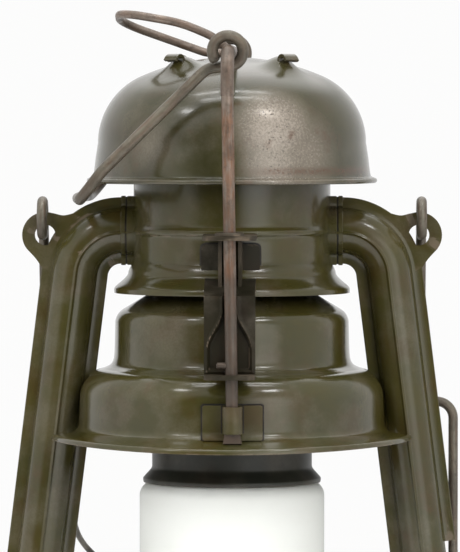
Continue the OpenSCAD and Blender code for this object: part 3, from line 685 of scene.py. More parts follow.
def makeHood():
    look = settings(hoodShape)
    low, high = span("hood")
    rollX = high.x - look.roll
    capZ = high.z - look.capRadius
    cornerX = look.wallRadius - look.shoulderRadius
    cornerZ = capZ + math.sqrt((look.capRadius - look.shoulderRadius) ** 2 - cornerX ** 2)
    bend = math.degrees(math.atan2(cornerZ - capZ, cornerX))
    outer = arcPoints((0, capZ), look.capRadius, 90, bend, 16)
    outer += arcPoints((cornerX, cornerZ), look.shoulderRadius, bend - 2, 0, 28)
    outer += curveThrough(shifted(look.skirt, look.footRadius, low.z) + [(rollX, low.z + 2 * look.roll)])
    bm = latheMesh(sheetLoop(outer, look.sheet), 176, step=1.0)
    leg = look.bumpAt / math.sqrt(2)
    for vert in bm.verts:  # the sheet is pressed up where the legs come through
        spot = vert.co / mm
        away = math.hypot(abs(spot.x) - leg, abs(spot.y) - leg)
        if spot.z > cornerZ:
            vert.co.z += look.bumpHeight * math.exp(-(away / look.bumpReach) ** 2) * mm
    addLathe(bm, arcPoints((rollX, low.z + look.roll), look.roll, 0, 324, 9), 176)
    makePiece("hood_shell", bm, hoodPaint, "frame", ["hood"])


# Inner flue whose four legs come through the hood and are bent over
flueShape = dict(radius=19.2, sheet=1.2, flange=25.2, flangeSheet=1, tall=12, legAt=19.0, tabWidth=4.4,
                 tabSheet=0.8, tabEnd=11,
                 lip=[(1.9, -1.7), (1.3, -0.9), (0.7, -0.6), (0.1, -1.0), (-0.1, -2.5)])


def makeFlue():
    look = settings(flueShape)
    top = span("hood_carrier")[1].z
    seat = span("crown")[1].z + 0.05
    r = look.radius
    inner = r - look.sheet
    wide = look.flange
    upper = seat + look.tall
    lower = seat - look.tall
    ledge = seat + look.flangeSheet
    bm = latheMesh([(inner, upper), (r, upper), (r, ledge), (wide, ledge), (wide, seat), (r, seat),
                    (r, lower), (inner, lower)], 96)
    lip = curveThrough(shifted(look.lip, look.legAt, top))
    profile = sheetLoop(lip + [(look.legAt - 0.1, seat + look.tabEnd)], look.tabSheet)
    for i in range(4):
        turn = Matrix.Rotation(math.radians(45 + 90 * i), 4, "Z")
        place = turn @ Matrix.Translation(Vector((0, look.tabWidth / 2, 0))) @ upright()
        addPlate(bm, profile, look.tabWidth, place)
    makePiece("hood_flue", bm, hoodPaint, "frame", ["hood_carrier"], bevel=0.12)


# Side tubes, pressed as two halves with flanges and an ear for the bail
tubeShape = dict(radius=5.8, flange=8.3, sheet=0.8, runZ=221.4, runX=24.8, bendX=27.75, bendRadius=11.65,
                 footX=57.6, footZ=62.0, footRadius=20.0, footAngle=-45, footLength=13.0,
                 ridgeAt=94, ridgeWidth=3.2, ridgeHeight=0.42, notchFrom=68.7, notchTo=112.0,
                 earAngle=29, earReach=21.7, earRadius=5.75, earHole=2.6)


def tubeLine():
    look = settings(tubeShape)
    r = look.bendRadius
    bendZ = look.runZ - r
    run = look.footX - look.bendX
    rise = look.footZ - bendZ
    reach = math.hypot(run, rise)
    lean = math.atan2(rise, run) + math.acos(r / reach)
    top = Vector((look.bendX + r * math.cos(lean), bendZ + r * math.sin(lean)))
    return bendZ, lean, top, math.sqrt(reach ** 2 - r ** 2)


bendZ, tubeLean, legTop, legLength = tubeLine()


def tubeX(z):
    return legTop.x + (legTop.y - z) * math.tan(tubeLean)


def tubeStations():  # x, z, angle of the outer side, outer flange or not, from the crown down
    look = settings(tubeShape)
    along = Vector((math.sin(tubeLean), -math.cos(tubeLean)))
    lean = math.degrees(tubeLean)
    low = look.notchFrom
    high = look.notchTo
    step = 6
    stations = [(look.runX, look.runZ, 90, True)]
    stations += arcStations((look.bendX, bendZ), look.bendRadius, 90, lean, 30)
    for s in range(step, int(legLength), step):
        for edge, before in ((low, True), (high, False)):
            if s - step < edge <= s:
                point = legTop + along * edge
                stations.append((point.x, point.y, lean, before))
                stations.append((point.x, point.y, lean, not before))
        point = legTop + along * s
        stations.append((point.x, point.y, lean, not low < s < high))
    footTurn = math.radians(lean)
    centre = (look.footX - look.footRadius * math.cos(footTurn),
              look.footZ - look.footRadius * math.sin(footTurn))
    stations += arcStations(centre, look.footRadius, lean, look.footAngle, 16)
    x, z, angle = stations[-1][:3]
    turn = math.radians(angle)
    length = look.footLength
    stations.append((x + length * math.sin(turn), z - length * math.cos(turn), angle, True))
    return stations


def arcStations(centre, radius, start, end, count):
    turns = [start + (end - start) * i / count for i in range(count + 1)]
    return [(x, z, a, True) for (x, z), a in zip(arcPoints(centre, radius, start, end, count), turns)]


def halfLine(grow, ridge):  # outside of a half tube, from the inner flange to the outer one
    look = settings(tubeShape)
    r = look.radius + grow
    flange = look.flange + grow
    sheet = look.sheet + grow
    edge = [(flange, 0), (flange, sheet - 0.2), (flange - 0.2, sheet), (r + 1.0, sheet),
            (r + 0.3, sheet + 0.12)]
    line = [(-u, v) for u, v in edge]
    turns = list(range(170, 100, -7)) + [100 - 1.5 * i for i in range(9)] + list(range(86, 8, -7)) + [10]
    for a in turns:
        lift = ridge * math.exp(-((a - look.ridgeAt) / look.ridgeWidth) ** 2)
        turn = math.radians(a)
        line.append(((r + lift) * math.cos(turn), (r + lift) * math.sin(turn)))
    return line + edge[::-1]


def halfSection(outer):
    look = settings(tubeShape)
    line = halfLine(0, look.ridgeHeight)
    inner = arcPoints((0, 0), look.radius - look.sheet, 0, 180, 16)
    stop = look.radius - look.sheet / 4
    return [(u if outer else min(u, stop), v) for u, v in line] + inner


def earOutline():
    look = settings(tubeShape)
    centre = Vector((look.bendX, bendZ))
    edge = look.bendRadius + look.flange
    ear = centre + unit(look.earAngle) * look.earReach
    lower = centre + unit(7) * edge
    inside = arcPoints(centre, edge - 1.8, 56, 5, 12)
    around = arcPoints(ear, look.earRadius, -38, 98, 24)
    upper = curveThrough([around[-1], (ear.x - 2.4, ear.y + 5.35), (ear.x - 4.6, ear.y + 4.9),
                          centre + unit(53) * edge])
    below = curveThrough([lower, lower.lerp(Vector(around[0]), 0.5) - Vector((0.25, 0)), around[0]])
    hole = arcPoints(ear, look.earHole, 0, 345, 23)
    return inside + below[:-1] + around + upper[1:], hole


def makeTube(side, way, name, node):  # side: -1 left, 1 right; way: -1 front, 1 rear
    look = settings(tubeShape)
    bm = bmesh.new()
    rings = []
    for x, z, angle, outer in tubeStations():
        turn = math.radians(angle)
        section = halfSection(outer or side < 0)
        ring = [(x + u * math.cos(turn), v, z + u * math.sin(turn)) for u, v in section]
        rings.append([(side * across, way * out, up) for across, out, up in ring])
    addLoft(bm, rings)
    outline, hole = earOutline()
    flip = Matrix.Diagonal((side, -way, 1, 1))
    addPlate(bm, outline, look.sheet + 0.05, flip @ upright(), [hole])
    makePiece(name, bm, paint, "frame", [node], bevel=0.1, sharp=50)


# Crown between the tubes
crownShape = dict(radius=24.6, sheet=0.8, socketFrom=23.2, socketTo=26.2, socketWall=0.3,
                  bandFrom=26.6, bandTo=27.7, bandWall=0.35, jointWall=0.1,
                  bead=[(0, 1.3), (0.2, 0.9), (0.55, 0.2), (0.5, -0.5), (0.15, -1), (0, -1.4)],
                  flare=[(0.1, 7.6), (0.8, 6.5), (1.25, 5.5), (1.55, 4.4), (2.75, 3.1), (4.2, 1.9)],
                  edge=[(-0.1, 1.2), (0, 0.6), (-0.05, 0)])


def makeCrown():
    look = settings(crownShape)
    low, high = span("crown")
    r = look.radius
    beadZ = tubeShape["runZ"]
    outer = [(r, high.z), (r, beadZ + 5)]
    outer += curveThrough(shifted(look.bead, r, beadZ), 4)
    outer += curveThrough(shifted(look.flare, r, low.z) + shifted(look.edge, high.y, low.z))
    bm = latheMesh(sheetLoop(outer, look.sheet), 144)
    sleeves = bmesh.new()
    joint = bmesh.new()  # painted shade: a near-black band in the gap between the crown's socket and the tube's end band
    for side in (-1, 1):
        addSocket(sleeves, side, look.socketFrom, look.socketTo, look.socketWall)
        addSocket(sleeves, side, look.bandFrom, look.bandTo, look.bandWall)
        addSocket(joint, side, look.socketTo - 0.3, look.bandFrom + 0.3, look.jointWall)
    makePiece("crown_shell", bm, paint, "frame", ["crown"])
    makePiece("crown_sockets", sleeves, socketPaint, "frame")
    makePiece("crown_socket_gap_shade", joint, gapShadePaint, "frame")


def addSocket(bm, side, start, end, wall):  # sleeve round the tube's run
    rings = []
    for x, grow in ((start, 0.05), (start, wall), (end - 0.15, wall), (end, wall - 0.12), (end, 0.05)):
        line = halfLine(grow, 0)
        whole = line + [(u, -v) for u, v in line[::-1]][1:-1]
        rings.append([(side * x, v, tubeShape["runZ"] + u) for u, v in whole])
    addLoft(bm, rings)


# Rod guide on the crown
guideShape = dict(width=12.5, sheet=1.2, relief=0.85, rimHeight=0.4, rimWidth=0.5, neckHalf=1.8,
                  bellHalf=5.45, bellTop=202.8, bellWide=193.6, bellFoot=188.1, slopeFrom=206.4,
                  slopeTo=210.4, padIn=2.9, padOut=7.3, padLow=209.9, padHigh=218.6, padSheet=0.7,
                  padCorner=1.4, webSheet=0.9, webFront=34.0, seam=0.4, rodGap=0.45, crownGap=0.6,
                  holeGap=0.4, rows=84, columns=64, slopeSteps=8)


def bellHalf(z):
    look = settings(guideShape)
    grow = smoothRise(look.bellTop, look.bellWide, z)
    return look.neckHalf + (look.bellHalf - look.neckHalf) * grow


def bellHeight(x, z):  # pressed bell: sunk inside, with a raised rim
    look = settings(guideShape)
    across = abs(x) - bellHalf(z)
    steep = abs(bellHalf(z + 0.3) - bellHalf(z - 0.3)) / 0.6
    away = max(across / math.hypot(1, steep), look.bellFoot - z)
    rim = look.rimHeight * math.exp(-(away / look.rimWidth) ** 2)
    return rim - look.relief * smoothRise(0, -0.8, away)


def slopeHeight(share):  # the guide's sheet on its way back to the crown
    look = settings(guideShape)
    return look.slopeFrom + (look.slopeTo - look.slopeFrom) * smoothRise(-0.35, 1.15, share)


def flangeTab(bm, z, back, front, half, sheet, rodY, hole):
    outline = roundedRect(-half, front, half, back, 2.2, (1, 1, 0, 0))
    ring = arcPoints((0, -rodY), hole, 0, 340, 17)
    addPlate(bm, outline, sheet, lifted(z), [ring])


def makeGuide(turn, place, rodY):
    look = settings(guideShape)
    low, high = span("front_guide")
    half = look.width / 2
    sheet = look.sheet
    front = rodY - liftShape["rodRadius"] - look.rodGap
    crown = crownShape["radius"] + look.crownGap
    xs = [-half + 2 * half * i / look.columns for i in range(look.columns + 1)]
    rows = []
    for k in range(look.rows + 1):
        z = low.z + (look.slopeFrom - low.z) * k / look.rows
        pressed = [(x, -front - bellHeight(x, z), z) for x in xs]
        rows.append(pressed + [(x, -front + sheet, z) for x in xs[::-1]])
    for k in range(1, look.slopeSteps + 1):  # the sheet slopes back to the crown
        t = k / look.slopeSteps
        z = slopeHeight(t)
        y = -front + (front - crown) * t
        rows.append([(x, y, z) for x in xs] + [(x, y + 0.3, z - sheet) for x in xs[::-1]])
    bm = bmesh.new()
    addLoft(bm, rows)
    hole = liftShape["rodRadius"] + look.holeGap
    flangeTab(bm, low.z, -front + 0.4, low.y, half, sheet, rodY, hole)
    flangeTab(bm, high.z - sheet, -crown + 0.2, low.y, half + 0.3, sheet, rodY, hole + 0.15)
    boss = latheMesh(arcPoints((hole + 1.1, high.z), 0.75, 0, 180, 6), 40)
    bmesh.ops.translate(boss, verts=boss.verts, vec=(0, -rodY * mm, 0))
    joinInto(bm, boss)
    seam = bmesh.new()  # painted shade: a near-black sheet round the pads, in the gap between the pads and the crown
    head = high.z - sheet + 0.1
    for side in (-1, 1):
        left, right = sorted((side * (look.padIn - look.webSheet), side * look.padIn))
        web = []
        for k in range(look.slopeSteps + 1):  # it stands on the slope, clear of the plate below
            y = -look.webFront + (look.webFront - crown + look.crownGap) * k / look.slopeSteps
            foot = slopeHeight((y + front) / (front - crown)) - 0.5
            web.append([(left, y, foot), (right, y, foot), (right, y, head), (left, y, head)])
        addLoft(bm, web)
        addPad(bm, side, 0, crownShape["radius"] + 0.1, look.padSheet + 0.1)
        addPad(seam, side, look.seam, crownShape["radius"] - 0.2, 0.4)
    makePiece(place + "_rod_guide", bm, guidePaint, "frame", [place + "_guide"], bevel=0.12, turn=turn)
    makePiece(place + "_rod_guide_gap_shade", seam, gapShadePaint, "frame", turn=turn)


def addPad(bm, side, grow, radius, sheet):
    look = settings(guideShape)
    low = look.padLow - grow
    high = look.padHigh + grow
    pad = []
    for k in range(25):
        z = low + (high - low) * k / 24
        start = look.padIn - grow
        stop = look.padOut + grow - cornerTrim(z, low, high, look.padCorner)
        arcs = [start + (stop - start) * i / 8 for i in range(9)]
        pad.append([onRound(side * s, radius + sheet, z) for s in arcs]
                   + [onRound(side * s, radius, z) for s in arcs[::-1]])
    addLoft(bm, pad)


def cornerTrim(z, low, high, corner):  # how far a rounded corner draws a plate's end in
    away = min(z - low, high - z)
    return corner - math.sqrt(max(corner ** 2 - max(corner - away, 0) ** 2, 0))


def onRound(across, radius, z):  # a place on an upright cylinder, measured along its front
    turn = across / radius
    return radius * math.sin(turn), -radius * math.cos(turn), z


def joinInto(bm, other):
    mesh = bpy.data.meshes.new("joining")
    other.to_mesh(mesh)
    other.free()
    bm.from_mesh(mesh)
    bpy.data.meshes.remove(mesh)


# Lift rods, their run over the hood and the finger loop
liftShape = dict(rodRadius=1.5, runRadius=1.65, loopRadius=1.05, seamDrop=10.5, loopY=11.8, held=2.5,
                 bend=5, leanTop=-0.5, leanFoot=0.7, footRise=1.7, runOver=1.2,
                 loop=[(-4.7, -11.8, 3.9), (-12.4, -11.5, 7.2), (-27.9, -9.5, 9.9), (-28.3, 9.5, 7.6),
                       (-6.5, 12, -0.1)],
                 loopBends=[2.5, 12, 30, 7.5, 8, 8, 2.5], spade=(4.6, 1.3, 2.9), pinZ=189.6,
                 pinRadius=0.85, pinReach=(0, 2, 3.2))


def makeLiftWire():
    look = settings(liftShape)
    low, high = span("lift_wire")
    rodY = high.y - look.runRadius
    runZ = pivots["handle_swing"].z
    seam = runZ - look.seamDrop
    foot = low.z + look.footRise
    runEnd = look.loopY + look.runOver
    wide, thick, tall = look.spade
    bm = bmesh.new()
    for side in (-1, 1):
        y = side * rodY
        footX = -side * look.leanFoot
        topX = -side * look.leanTop
        pinX = footX + (topX - footX) * (look.pinZ - foot) / (seam - foot)
        addSweep(bm, spread([(footX, y, foot), (topX, y, seam + 0.5)], 4), look.rodRadius)
        top = bentPath([(topX, y, seam), (topX, y, runZ), (0, side * runEnd, runZ)], [look.bend])
        addSweep(bm, top, look.runRadius)
        pin = [(pinX + side * reach, y, look.pinZ) for reach in look.pinReach]
        addSweep(bm, pin, look.pinRadius, 12)
        half = [(wide / 2, foot - tall), (wide / 2 - 0.5, foot - 0.2), (1.2, foot + 0.8)]
        addPlate(bm, half + [(-x, z) for x, z in half[::-1]], thick, upright(footX, y + thick / 2, 0))
    points = [(0, -runEnd - look.held, runZ), (0, -look.loopY, runZ)]
    points += [(x, y, runZ + z) for x, y, z in look.loop]
    points += [(0, look.loopY + 0.8, runZ), (0, runEnd + look.held, runZ)]
    addSweep(bm, bentPath(points, look.loopBends, step=2.5), look.loopRadius)
    makePiece("lift_rods", bm, rodWire, "upper_plate", ["lift_wire"])
    return rodY


# Top handle with an open eye at each end
handleShape = dict(wire=1.4, eye=3.7, eyeEnd=212, eyeStop=-84, eyeSteps=44, eyeShift=2.9, neckX=5.5,
                   neckDrop=0.4, leg=51.4, barY=12,
                   barIn=0.3, eyeX=-0.5, bowX=-31.3, bowRise=1.5, bends=[6, 16, 6, 40, 40, 6, 16, 6])


def makeTopHandle():
    look = settings(handleShape)
    low, high = span("top_handle")
    runZ = pivots["handle_swing"].z
    y = high.y - look.wire
    farZ = low.z + look.wire
    barX = low.x + look.wire + look.barIn
    farX = -math.sqrt(look.leg ** 2 - (runZ - farZ) ** 2)
    eyeLow = runZ - look.eye
    neck = (-look.neckX, eyeLow - look.neckDrop)
    share = (look.bowX - neck[0]) / (farX - neck[0])
    bow = (look.bowX, neck[1] + (farZ - neck[1]) * share + look.bowRise)
    half = [(look.eyeX, eyeLow), neck, bow, (farX, farZ)]
    points = [(x, -y, z) for x, z in half] + [(barX, -look.barY, farZ), (barX, look.barY, farZ)]
    points += [(x, y, z) for x, z in half[::-1]]
    eye = arcPoints((look.eyeX, runZ), look.eye, look.eyeEnd, look.eyeStop, look.eyeSteps)
    # the eye's end lies beside the leg
    shifts = [look.eyeShift * (1 - i / look.eyeSteps) for i in range(look.eyeSteps + 1)]
    coil = [(x, y + s, z) for (x, z), s in zip(eye, shifts)]
    path = [Vector((x, -out, z)) for x, out, z in coil] + bentPath(points, look.bends, step=3)
    path += [Vector(p) for p in coil[::-1]]
    wirePiece("handle_wire", path, look.wire, "handle", "top_handle")


# Carrying bail, stored behind the lantern
bailShape = dict(wire=1.3, eye=4.2, eyeTurn=288, legTop=6, leg=82, tilt=20, x=47.38)


def makeBail():
    look = settings(bailShape)
    hinge = pivots["bail_swing"].z
    e = look.eye
    x = look.x
    eye = arcPoints((0, 0), e, look.eyeTurn, 0, 44)
    path = [(x, y, z) for y, z in eye]
    path += spread([(x, e, -look.legTop), (x, e, -look.leg)], 5)
    path += [(px, e, pz) for px, pz in arcPoints((0, -look.leg), x, -2, -178, 60)]
    path += spread([(-x, e, -look.leg), (-x, e, -look.legTop)], 5)
    path += [(-x, y, z) for y, z in eye[::-1]]
    turn = lifted(hinge) @ Matrix.Rotation(math.radians(look.tilt), 4, "X")
    wirePiece("bail_wire", [turn @ Vector(p) for p in path], look.wire, "bail", "bail")


# Globe lever beside the right tube
leverShape = dict(wire=1.2, hookZ=178.5, hookIn=6.9, hookOut=12.1, y=3.15, midZ=139.0, rearY=9.8,
                  footX=34.8, footEnd=-9.0, tubeGap=1.1, innerY=0.5, bends=[4.2, 40, 3, 3, 3, 3, 3])


def makeLever():
    look = settings(leverShape)
    pivot = pivots["lever_turn"]
    y = look.y
    z = pivot.z
    rear = look.rearY
    hookX = tubeX(look.hookZ) + look.hookIn
    upperX = tubeX(look.hookZ) + look.hookOut
    cornerX = tubeX(z) + tubeShape["radius"] + look.wire + look.tubeGap
    points = [(hookX, y, look.hookZ), (upperX, y, look.hookZ), (upperX, y, look.midZ), (cornerX, y, z),
              (cornerX, rear, z), (pivot.x, rear, z), (pivot.x, look.innerY, z),
              (look.footX, look.innerY, z), (look.footX, look.footEnd, z)]
    wirePiece("lever_wire", bentPath(points, look.bends), look.wire, "lever", "lift_lever")


# Guard wires that cross in front of the globe and behind it
guardShape = dict(wire=0.75, bow=2.0, sway=0.02, highDrop=(8, 24), lowRise=6.0, inset=1.1, gap=0.05,
                  steps=96)


def makeGuard(place, drop, turn):
    look = settings(guardShape)
    highZ = span("globe")[1].z - drop
    lowZ = span("globe_gallery")[1].z + look.lowRise
    start = tubeX(highZ) - tubeShape["flange"] + look.inset
    end = tubeX(lowZ) - tubeShape["flange"] + look.inset
    offset = tubeShape["sheet"] + look.wire + look.gap
    path = []
    for i in range(look.steps + 1):
        t = i / look.steps
        a = math.pi * (1 - t)
        r = start + (end - start) * t + look.bow * math.sin(a)
        z = highZ + (lowZ - highZ) * (t + look.sway * math.sin(2 * math.pi * t))
        path.append(Vector((r * math.cos(a), offset + r * math.sin(a), z)))
    spin = Matrix.Rotation(turn, 3, "Z")
    path = [spin @ p for p in path]
    wirePiece(place + "_guard_wire", path, look.wire, "frame", place + "_guard", 12)


# Stepped plate on the globe, with its collar
plateShape = dict(neck=18.75, coneTop=(4, -2.4), coneEnd=59, narrowCentre=(25.2, 28.7), narrowCorner=4.0,
                  narrowFoot=[(0.15, 23), (0.3, 20.4), (0.7, 19), (1.5, 18.1)],
                  wideFrom=(1, 17.35), wideCentre=(31.3, 10.4), wideCorner=7.0,
                  wideFoot=[(0.25, 4.6), (0.45, 3.1), (1.3, 2.05), (2.7, 1.5)],
                  sheet=0.8, travel=5.0, gap=0.3, flangeFrom=39.4, frontDroop=0.8, sideRise=0.6)


def makePlateCutter():  # room for the side tubes over the plate's travel
    look = settings(plateShape)
    flangeZ = span("upper_globe_plate")[0].z
    wideTop = flangeZ + look.wideCentre[1] + look.wideCorner
    inner = tubeX(wideTop + look.travel) - look.gap
    low = flangeZ - 6
    deep = inner - tubeShape["flange"]
    shallow = inner - tubeShape["radius"]
    far = 90  # well outside the plate
    slot = tubeShape["sheet"] + 2 * look.gap
    wide = tubeShape["radius"] + 2 * look.gap
    half = [(deep, slot), (shallow, slot), (shallow, wide), (far, wide)]
    outline = [(x, -y) for x, y in half] + half[::-1]
    bm = bmesh.new()
    for side in (-1, 1):
        addPlate(bm, [(side * x, y) for x, y in outline], wideTop + 1 - low, lifted(low))
    return meshOf("plateCutter", bm)


def makePlate():
    look = settings(plateShape)
    low, high = span("upper_globe_plate")
    base = low.z
    rim = high.y
    narrow = (look.narrowCentre[0], base + look.narrowCentre[1])
    wide = (look.wideCentre[0], base + look.wideCentre[1])
    wallTop = narrow[0] + look.narrowCorner
    step = wide[0] + look.wideCorner
    outer = [(look.neck, high.z)] + shifted([look.coneTop], look.neck, high.z)
    outer += arcPoints(narrow, look.narrowCorner, look.coneEnd, 0, 12)
    onWide = shifted([look.wideFrom], wide[0], base)
    outer += curveThrough(shifted(look.narrowFoot, wallTop, base) + onWide, 4)
    outer += arcPoints(wide, look.wideCorner, 80, 0, 16)
    outer += curveThrough(shifted(look.wideFoot, step, base), 4)
    outer += arcPoints((rim - 1, base - 0.3), 1, 80, 0, 6) + [(rim, base - 0.7)]
    bm = latheMesh(sheetLoop(outer, look.sheet), 168)
    for vert in bm.verts:  # the flange is a little bent, down at the front and rear
        out = math.hypot(vert.co.x, vert.co.y)
        share = max(0, (out / mm - look.flangeFrom) / (rim - look.flangeFrom))
        front = (vert.co.y / out) ** 2
        vert.co.z += share * (look.sideRise * (1 - front) - look.frontDroop * front) * mm
    makePiece("globe_plate", bm, platePaint, "upper_plate", ["upper_globe_plate"],
              cutter=makePlateCutter())


collarShape = dict(radius=20.0, sheet=0.8, lip=22.25, panFrom=37.3, panTo=32.9,
                   neckTop=[(2, -0.25), (0.8, -0.35), (0.15, -0.8), (0, -1.6)],
                   neckFoot=[(0, 4.2), (0.25, 3.3)], lipLine=[(-0.5, 1.6), (0, 0.9), (-0.1, 0)])


def makeCollar():
    look = settings(collarShape)
    low = span("globe_collar")[0].z
    base = span("upper_globe_plate")[0].z
    r = look.radius
    outer = [(look.panFrom, base + 2), (look.panTo, base + 0.4)]
    outer += curveThrough(shifted(look.neckTop, r, base), 3)
    outer += curveThrough(shifted(look.neckFoot, r, low) + shifted(look.lipLine, look.lip, low), 4)
    bm = latheMesh(sheetLoop(outer, look.sheet), 144)
    makePiece("plate_collar", bm, darkPaint, "upper_plate", ["globe_collar"], cutter=makePlateCutter())


# Clips that hold the rods to the plate
clipShape = dict(wall=38.8, sheet=0.85, half=7.4, low=171.3, high=179.8, strapOuter=2.45, strapSheet=0.75,
                 strapLow=173.0, corner=0.5, turn=1.0, seam=0.35)


def makeClip(turn, place, rodY):
    look = settings(clipShape)
    r = look.strapOuter
    inner = r - look.strapSheet
    back = -look.wall - 0.5
    front = -look.wall - look.sheet - 0.06
    outline = [(-r, back)] + arcPoints((0, -rodY), r, 180, 360, 16) + [(r, back), (inner, back)]
    outline += arcPoints((0, -rodY), inner, 360, 180, 16) + [(-inner, back)]
    bm = bmesh.new()
    addClipPlate(bm, 0, look.wall, look.sheet)
    addPlate(bm, outline, look.high - 0.15 - look.strapLow, lifted(look.strapLow))
    seam = bmesh.new()  # painted shade: near-black sheets round the clip and beside its strap, in the gaps
    addClipPlate(seam, look.seam, look.wall - 0.6, 0.75)
    for side in (-1, 1):
        left, right = sorted((side * (r - 0.1), side * (r + look.seam)))
        addBox(seam, (left, front, look.strapLow - 1), (right, back, look.high))
    turn += math.radians(look.turn)
    makePiece(place + "_rod_clip", bm, clipPaint, "upper_plate", [place + "_clip"], bevel=0.12, turn=turn)
    makePiece(place + "_rod_clip_gap_shade", seam, gapShadePaint, "upper_plate", turn=turn)


def addClipPlate(bm, grow, wall, sheet):
    look = settings(clipShape)
    low = look.low - grow
    high = look.high + grow
    rows = []
    for k in range(25):
        z = low + (high - low) * k / 24
        reach = look.half + grow - cornerTrim(z, low, high, look.corner)
        out = 1.3 * (1 - smoothRise(0, 2.2, z - look.low))
        xs = [-reach + 2 * reach * i / 20 for i in range(21)]
        face = [onRound(x, wall + sheet + out, z) for x in xs]
        rows.append(face + [onRound(x, wall + out, z) for x in xs[::-1]])
    addLoft(bm, rows)


# Frosted globe
globeShape = dict(neck=23.1, foot=26.0, glass=2.0, bellyRise=27.3, neckDrop=17.5, lip=3.5)


def makeGlobe():
    look = settings(globeShape)
    low, high = span("globe")
    belly = high.x
    bellyZ = low.z + look.bellyRise
    neckZ = high.z - look.neckDrop
    outer = arcPoints((look.neck - look.lip, high.z - look.lip), look.lip, 90, 0, 10)
    for i in range(28):
        s = 1 - i / 28
        r = look.neck + (belly - look.neck) * (1 + math.cos(math.pi * s)) / 2
        outer.append((r, bellyZ + (neckZ - bellyZ) * s))
    for i in range(21):
        a = math.radians(4.5 * i)
        r = look.foot + (belly - look.foot) * math.cos(a)
        outer.append((r, bellyZ - (bellyZ - low.z) * math.sin(a)))
    inner = [(r - look.glass, z) for r, z in outer]
    bm = latheMesh(outer + inner[::-1], 144)
    makePiece("globe_glass", bm, frostedGlass, "globe_carriage", ["globe"])


# Tank, its foot ring and the filler cap
tankShape = dict(wall=57.0, shoulder=14.0, wallTop=24.0, sheet=1.0, slopeEnd=22.5, mouth=15.5, seam=0.7)


def makeTank():
    look = settings(tankShape)
    low, high = span("tank_shell")
    r = look.wall
    corner = (r - look.shoulder, look.wallTop)
    outer = [(look.mouth, high.z)]
    outer += curveThrough([(look.slopeEnd - 2, high.z), (look.slopeEnd, high.z - 0.15),
                           (look.slopeEnd + 2, high.z - 0.6)], 3)
    outer += arcPoints(corner, look.shoulder, 77, 0, 26)
    seam = low.z + 4.2
    outer += curveThrough([(r, seam + 2), (r + look.seam, seam + 1.3), (r + look.seam, seam - 0.4),
                           (r, seam - 1.1), (r, low.z)], 4)
    bm = latheMesh(sheetLoop(outer, look.sheet), 168)
    makePiece("tank_body", bm, paint, "frame", ["tank_shell"])
    low, high = span("tank_bottom")
    rim = high.x
    bm = latheMesh([(0, high.z), (rim, high.z), (rim, low.z), (rim - 4, low.z), (rim - 4.7, high.z - 1),
                    (0, high.z - 1)], 168)
    makePiece("tank_foot", bm, paint, "frame", ["tank_bottom"], bevel=0.4)


capShape = dict(radius=11.2, wall=1.9, flutes=24, fluteDepth=0.45)


def makeCap():
    look = settings(capShape)
    low, high = span("filler_cap")
    centre = (low + high) / 2
    r = look.radius
    inner = r - look.wall
    tall = high.z - low.z
    room = tall - look.wall

    def fluted(turn, out, z):
        side = smoothRise(r - 1.2, r - 0.3, out) * smoothRise(tall - 0.6, tall - 2, z)
        return out - look.fluteDepth * side * (0.5 + 0.5 * math.cos(look.flutes * turn))

    outer = [(0, tall), (r - 4.2, tall), (r - 3.6, tall - 0.35), (r - 3, tall - 0.3)]
    outer += arcPoints((r - 1.1, tall - 1.4), 1.1, 90, 0, 6)
    outer += [(r, tall - 2.2), (r, tall / 2), (r, 0.4), (r - 0.3, 0)]
    bm = latheMesh(outer + [(inner, 0), (inner, room), (0, room)], 192, fluted)
    bmesh.ops.translate(bm, verts=bm.verts, vec=Vector((centre.x, centre.y, low.z)) * mm)
    makePiece("filler_lid", bm, paint, "cap", ["filler_cap"])


# Wick knob
knobShape = dict(radius=8.0, notches=18, notchDepth=0.6, boss=2.6, half=3.0)


def makeKnob():
    look = settings(knobShape)
    low, high = span("wick_knob")
    centre = (low + high) / 2
    r = look.radius
    boss = look.boss
    half = look.half

    def notched(turn, out, z):
        rim = smoothRise(r - 1.6, r - 0.4, out)
        return out - look.notchDepth * rim * (0.5 + 0.5 * math.cos(look.notches * turn))

    loop = [(0, half), (boss - 0.5, half), (boss, 2.6), (boss, 1.75), (boss + 1.6, 1.3), (r - 1.7, 1.35)]
    loop += arcPoints((r - 0.8, 0.85), 0.8, 120, -90, 8)
    loop += [(boss + 0.4, 0.05), (boss, -0.4), (boss, -2.7), (boss - 0.3, -half), (0, -half)]
    bm = latheMesh(loop, 144, notched)
    place = Vector((centre.x, low.y + half, centre.z)) * mm
    bmesh.ops.transform(bm, matrix=upright(*place), verts=bm.verts)
    makePiece("knob_wheel", bm, brass, "winder", ["wick_knob"])


makeHood()
makeFlue()
makeCrown()
for side, hand in ((-1, "left"), (1, "right")):
    for way, half, node in ((-1, "face", "front"), (1, "back", "rear")):
        makeTube(side, way, f"{hand}_tube_{half}", f"{hand}_tube_{node}")
print("hood, crown and tubes made")
rodY = makeLiftWire()
for makeFixing in (makeGuide, makeClip):
    makeFixing(0, "front", rodY)
    makeFixing(math.pi, "rear", rodY)
makeTopHandle()
makeBail()
makeLever()
rearDrop, frontDrop = guardShape["highDrop"]
makeGuard("rear", rearDrop, 0)
makeGuard("front", frontDrop, math.pi)
print("wires and guides made")
makePlate()
makeCollar()
makeGlobe()
makeTank()
makeCap()
makeKnob()
print("plate, globe and tank made")


# Nodes whose own shape stays
keptFinishes = {paint: ("globe_gallery", "filler_neck", "lever_bracket"),
                brass: ("burner_collar", "burner_body", "burner_cone", "wick_tube", "wick_spindle"),
                cotton: ("wick",), cork: ("filler_gasket",)}
for finish, nodes in keptFinishes.items():
    for node in nodes:
        mesh = frame["nodes"][node].data
        mesh.materials.clear()
        mesh.materials.append(finish)


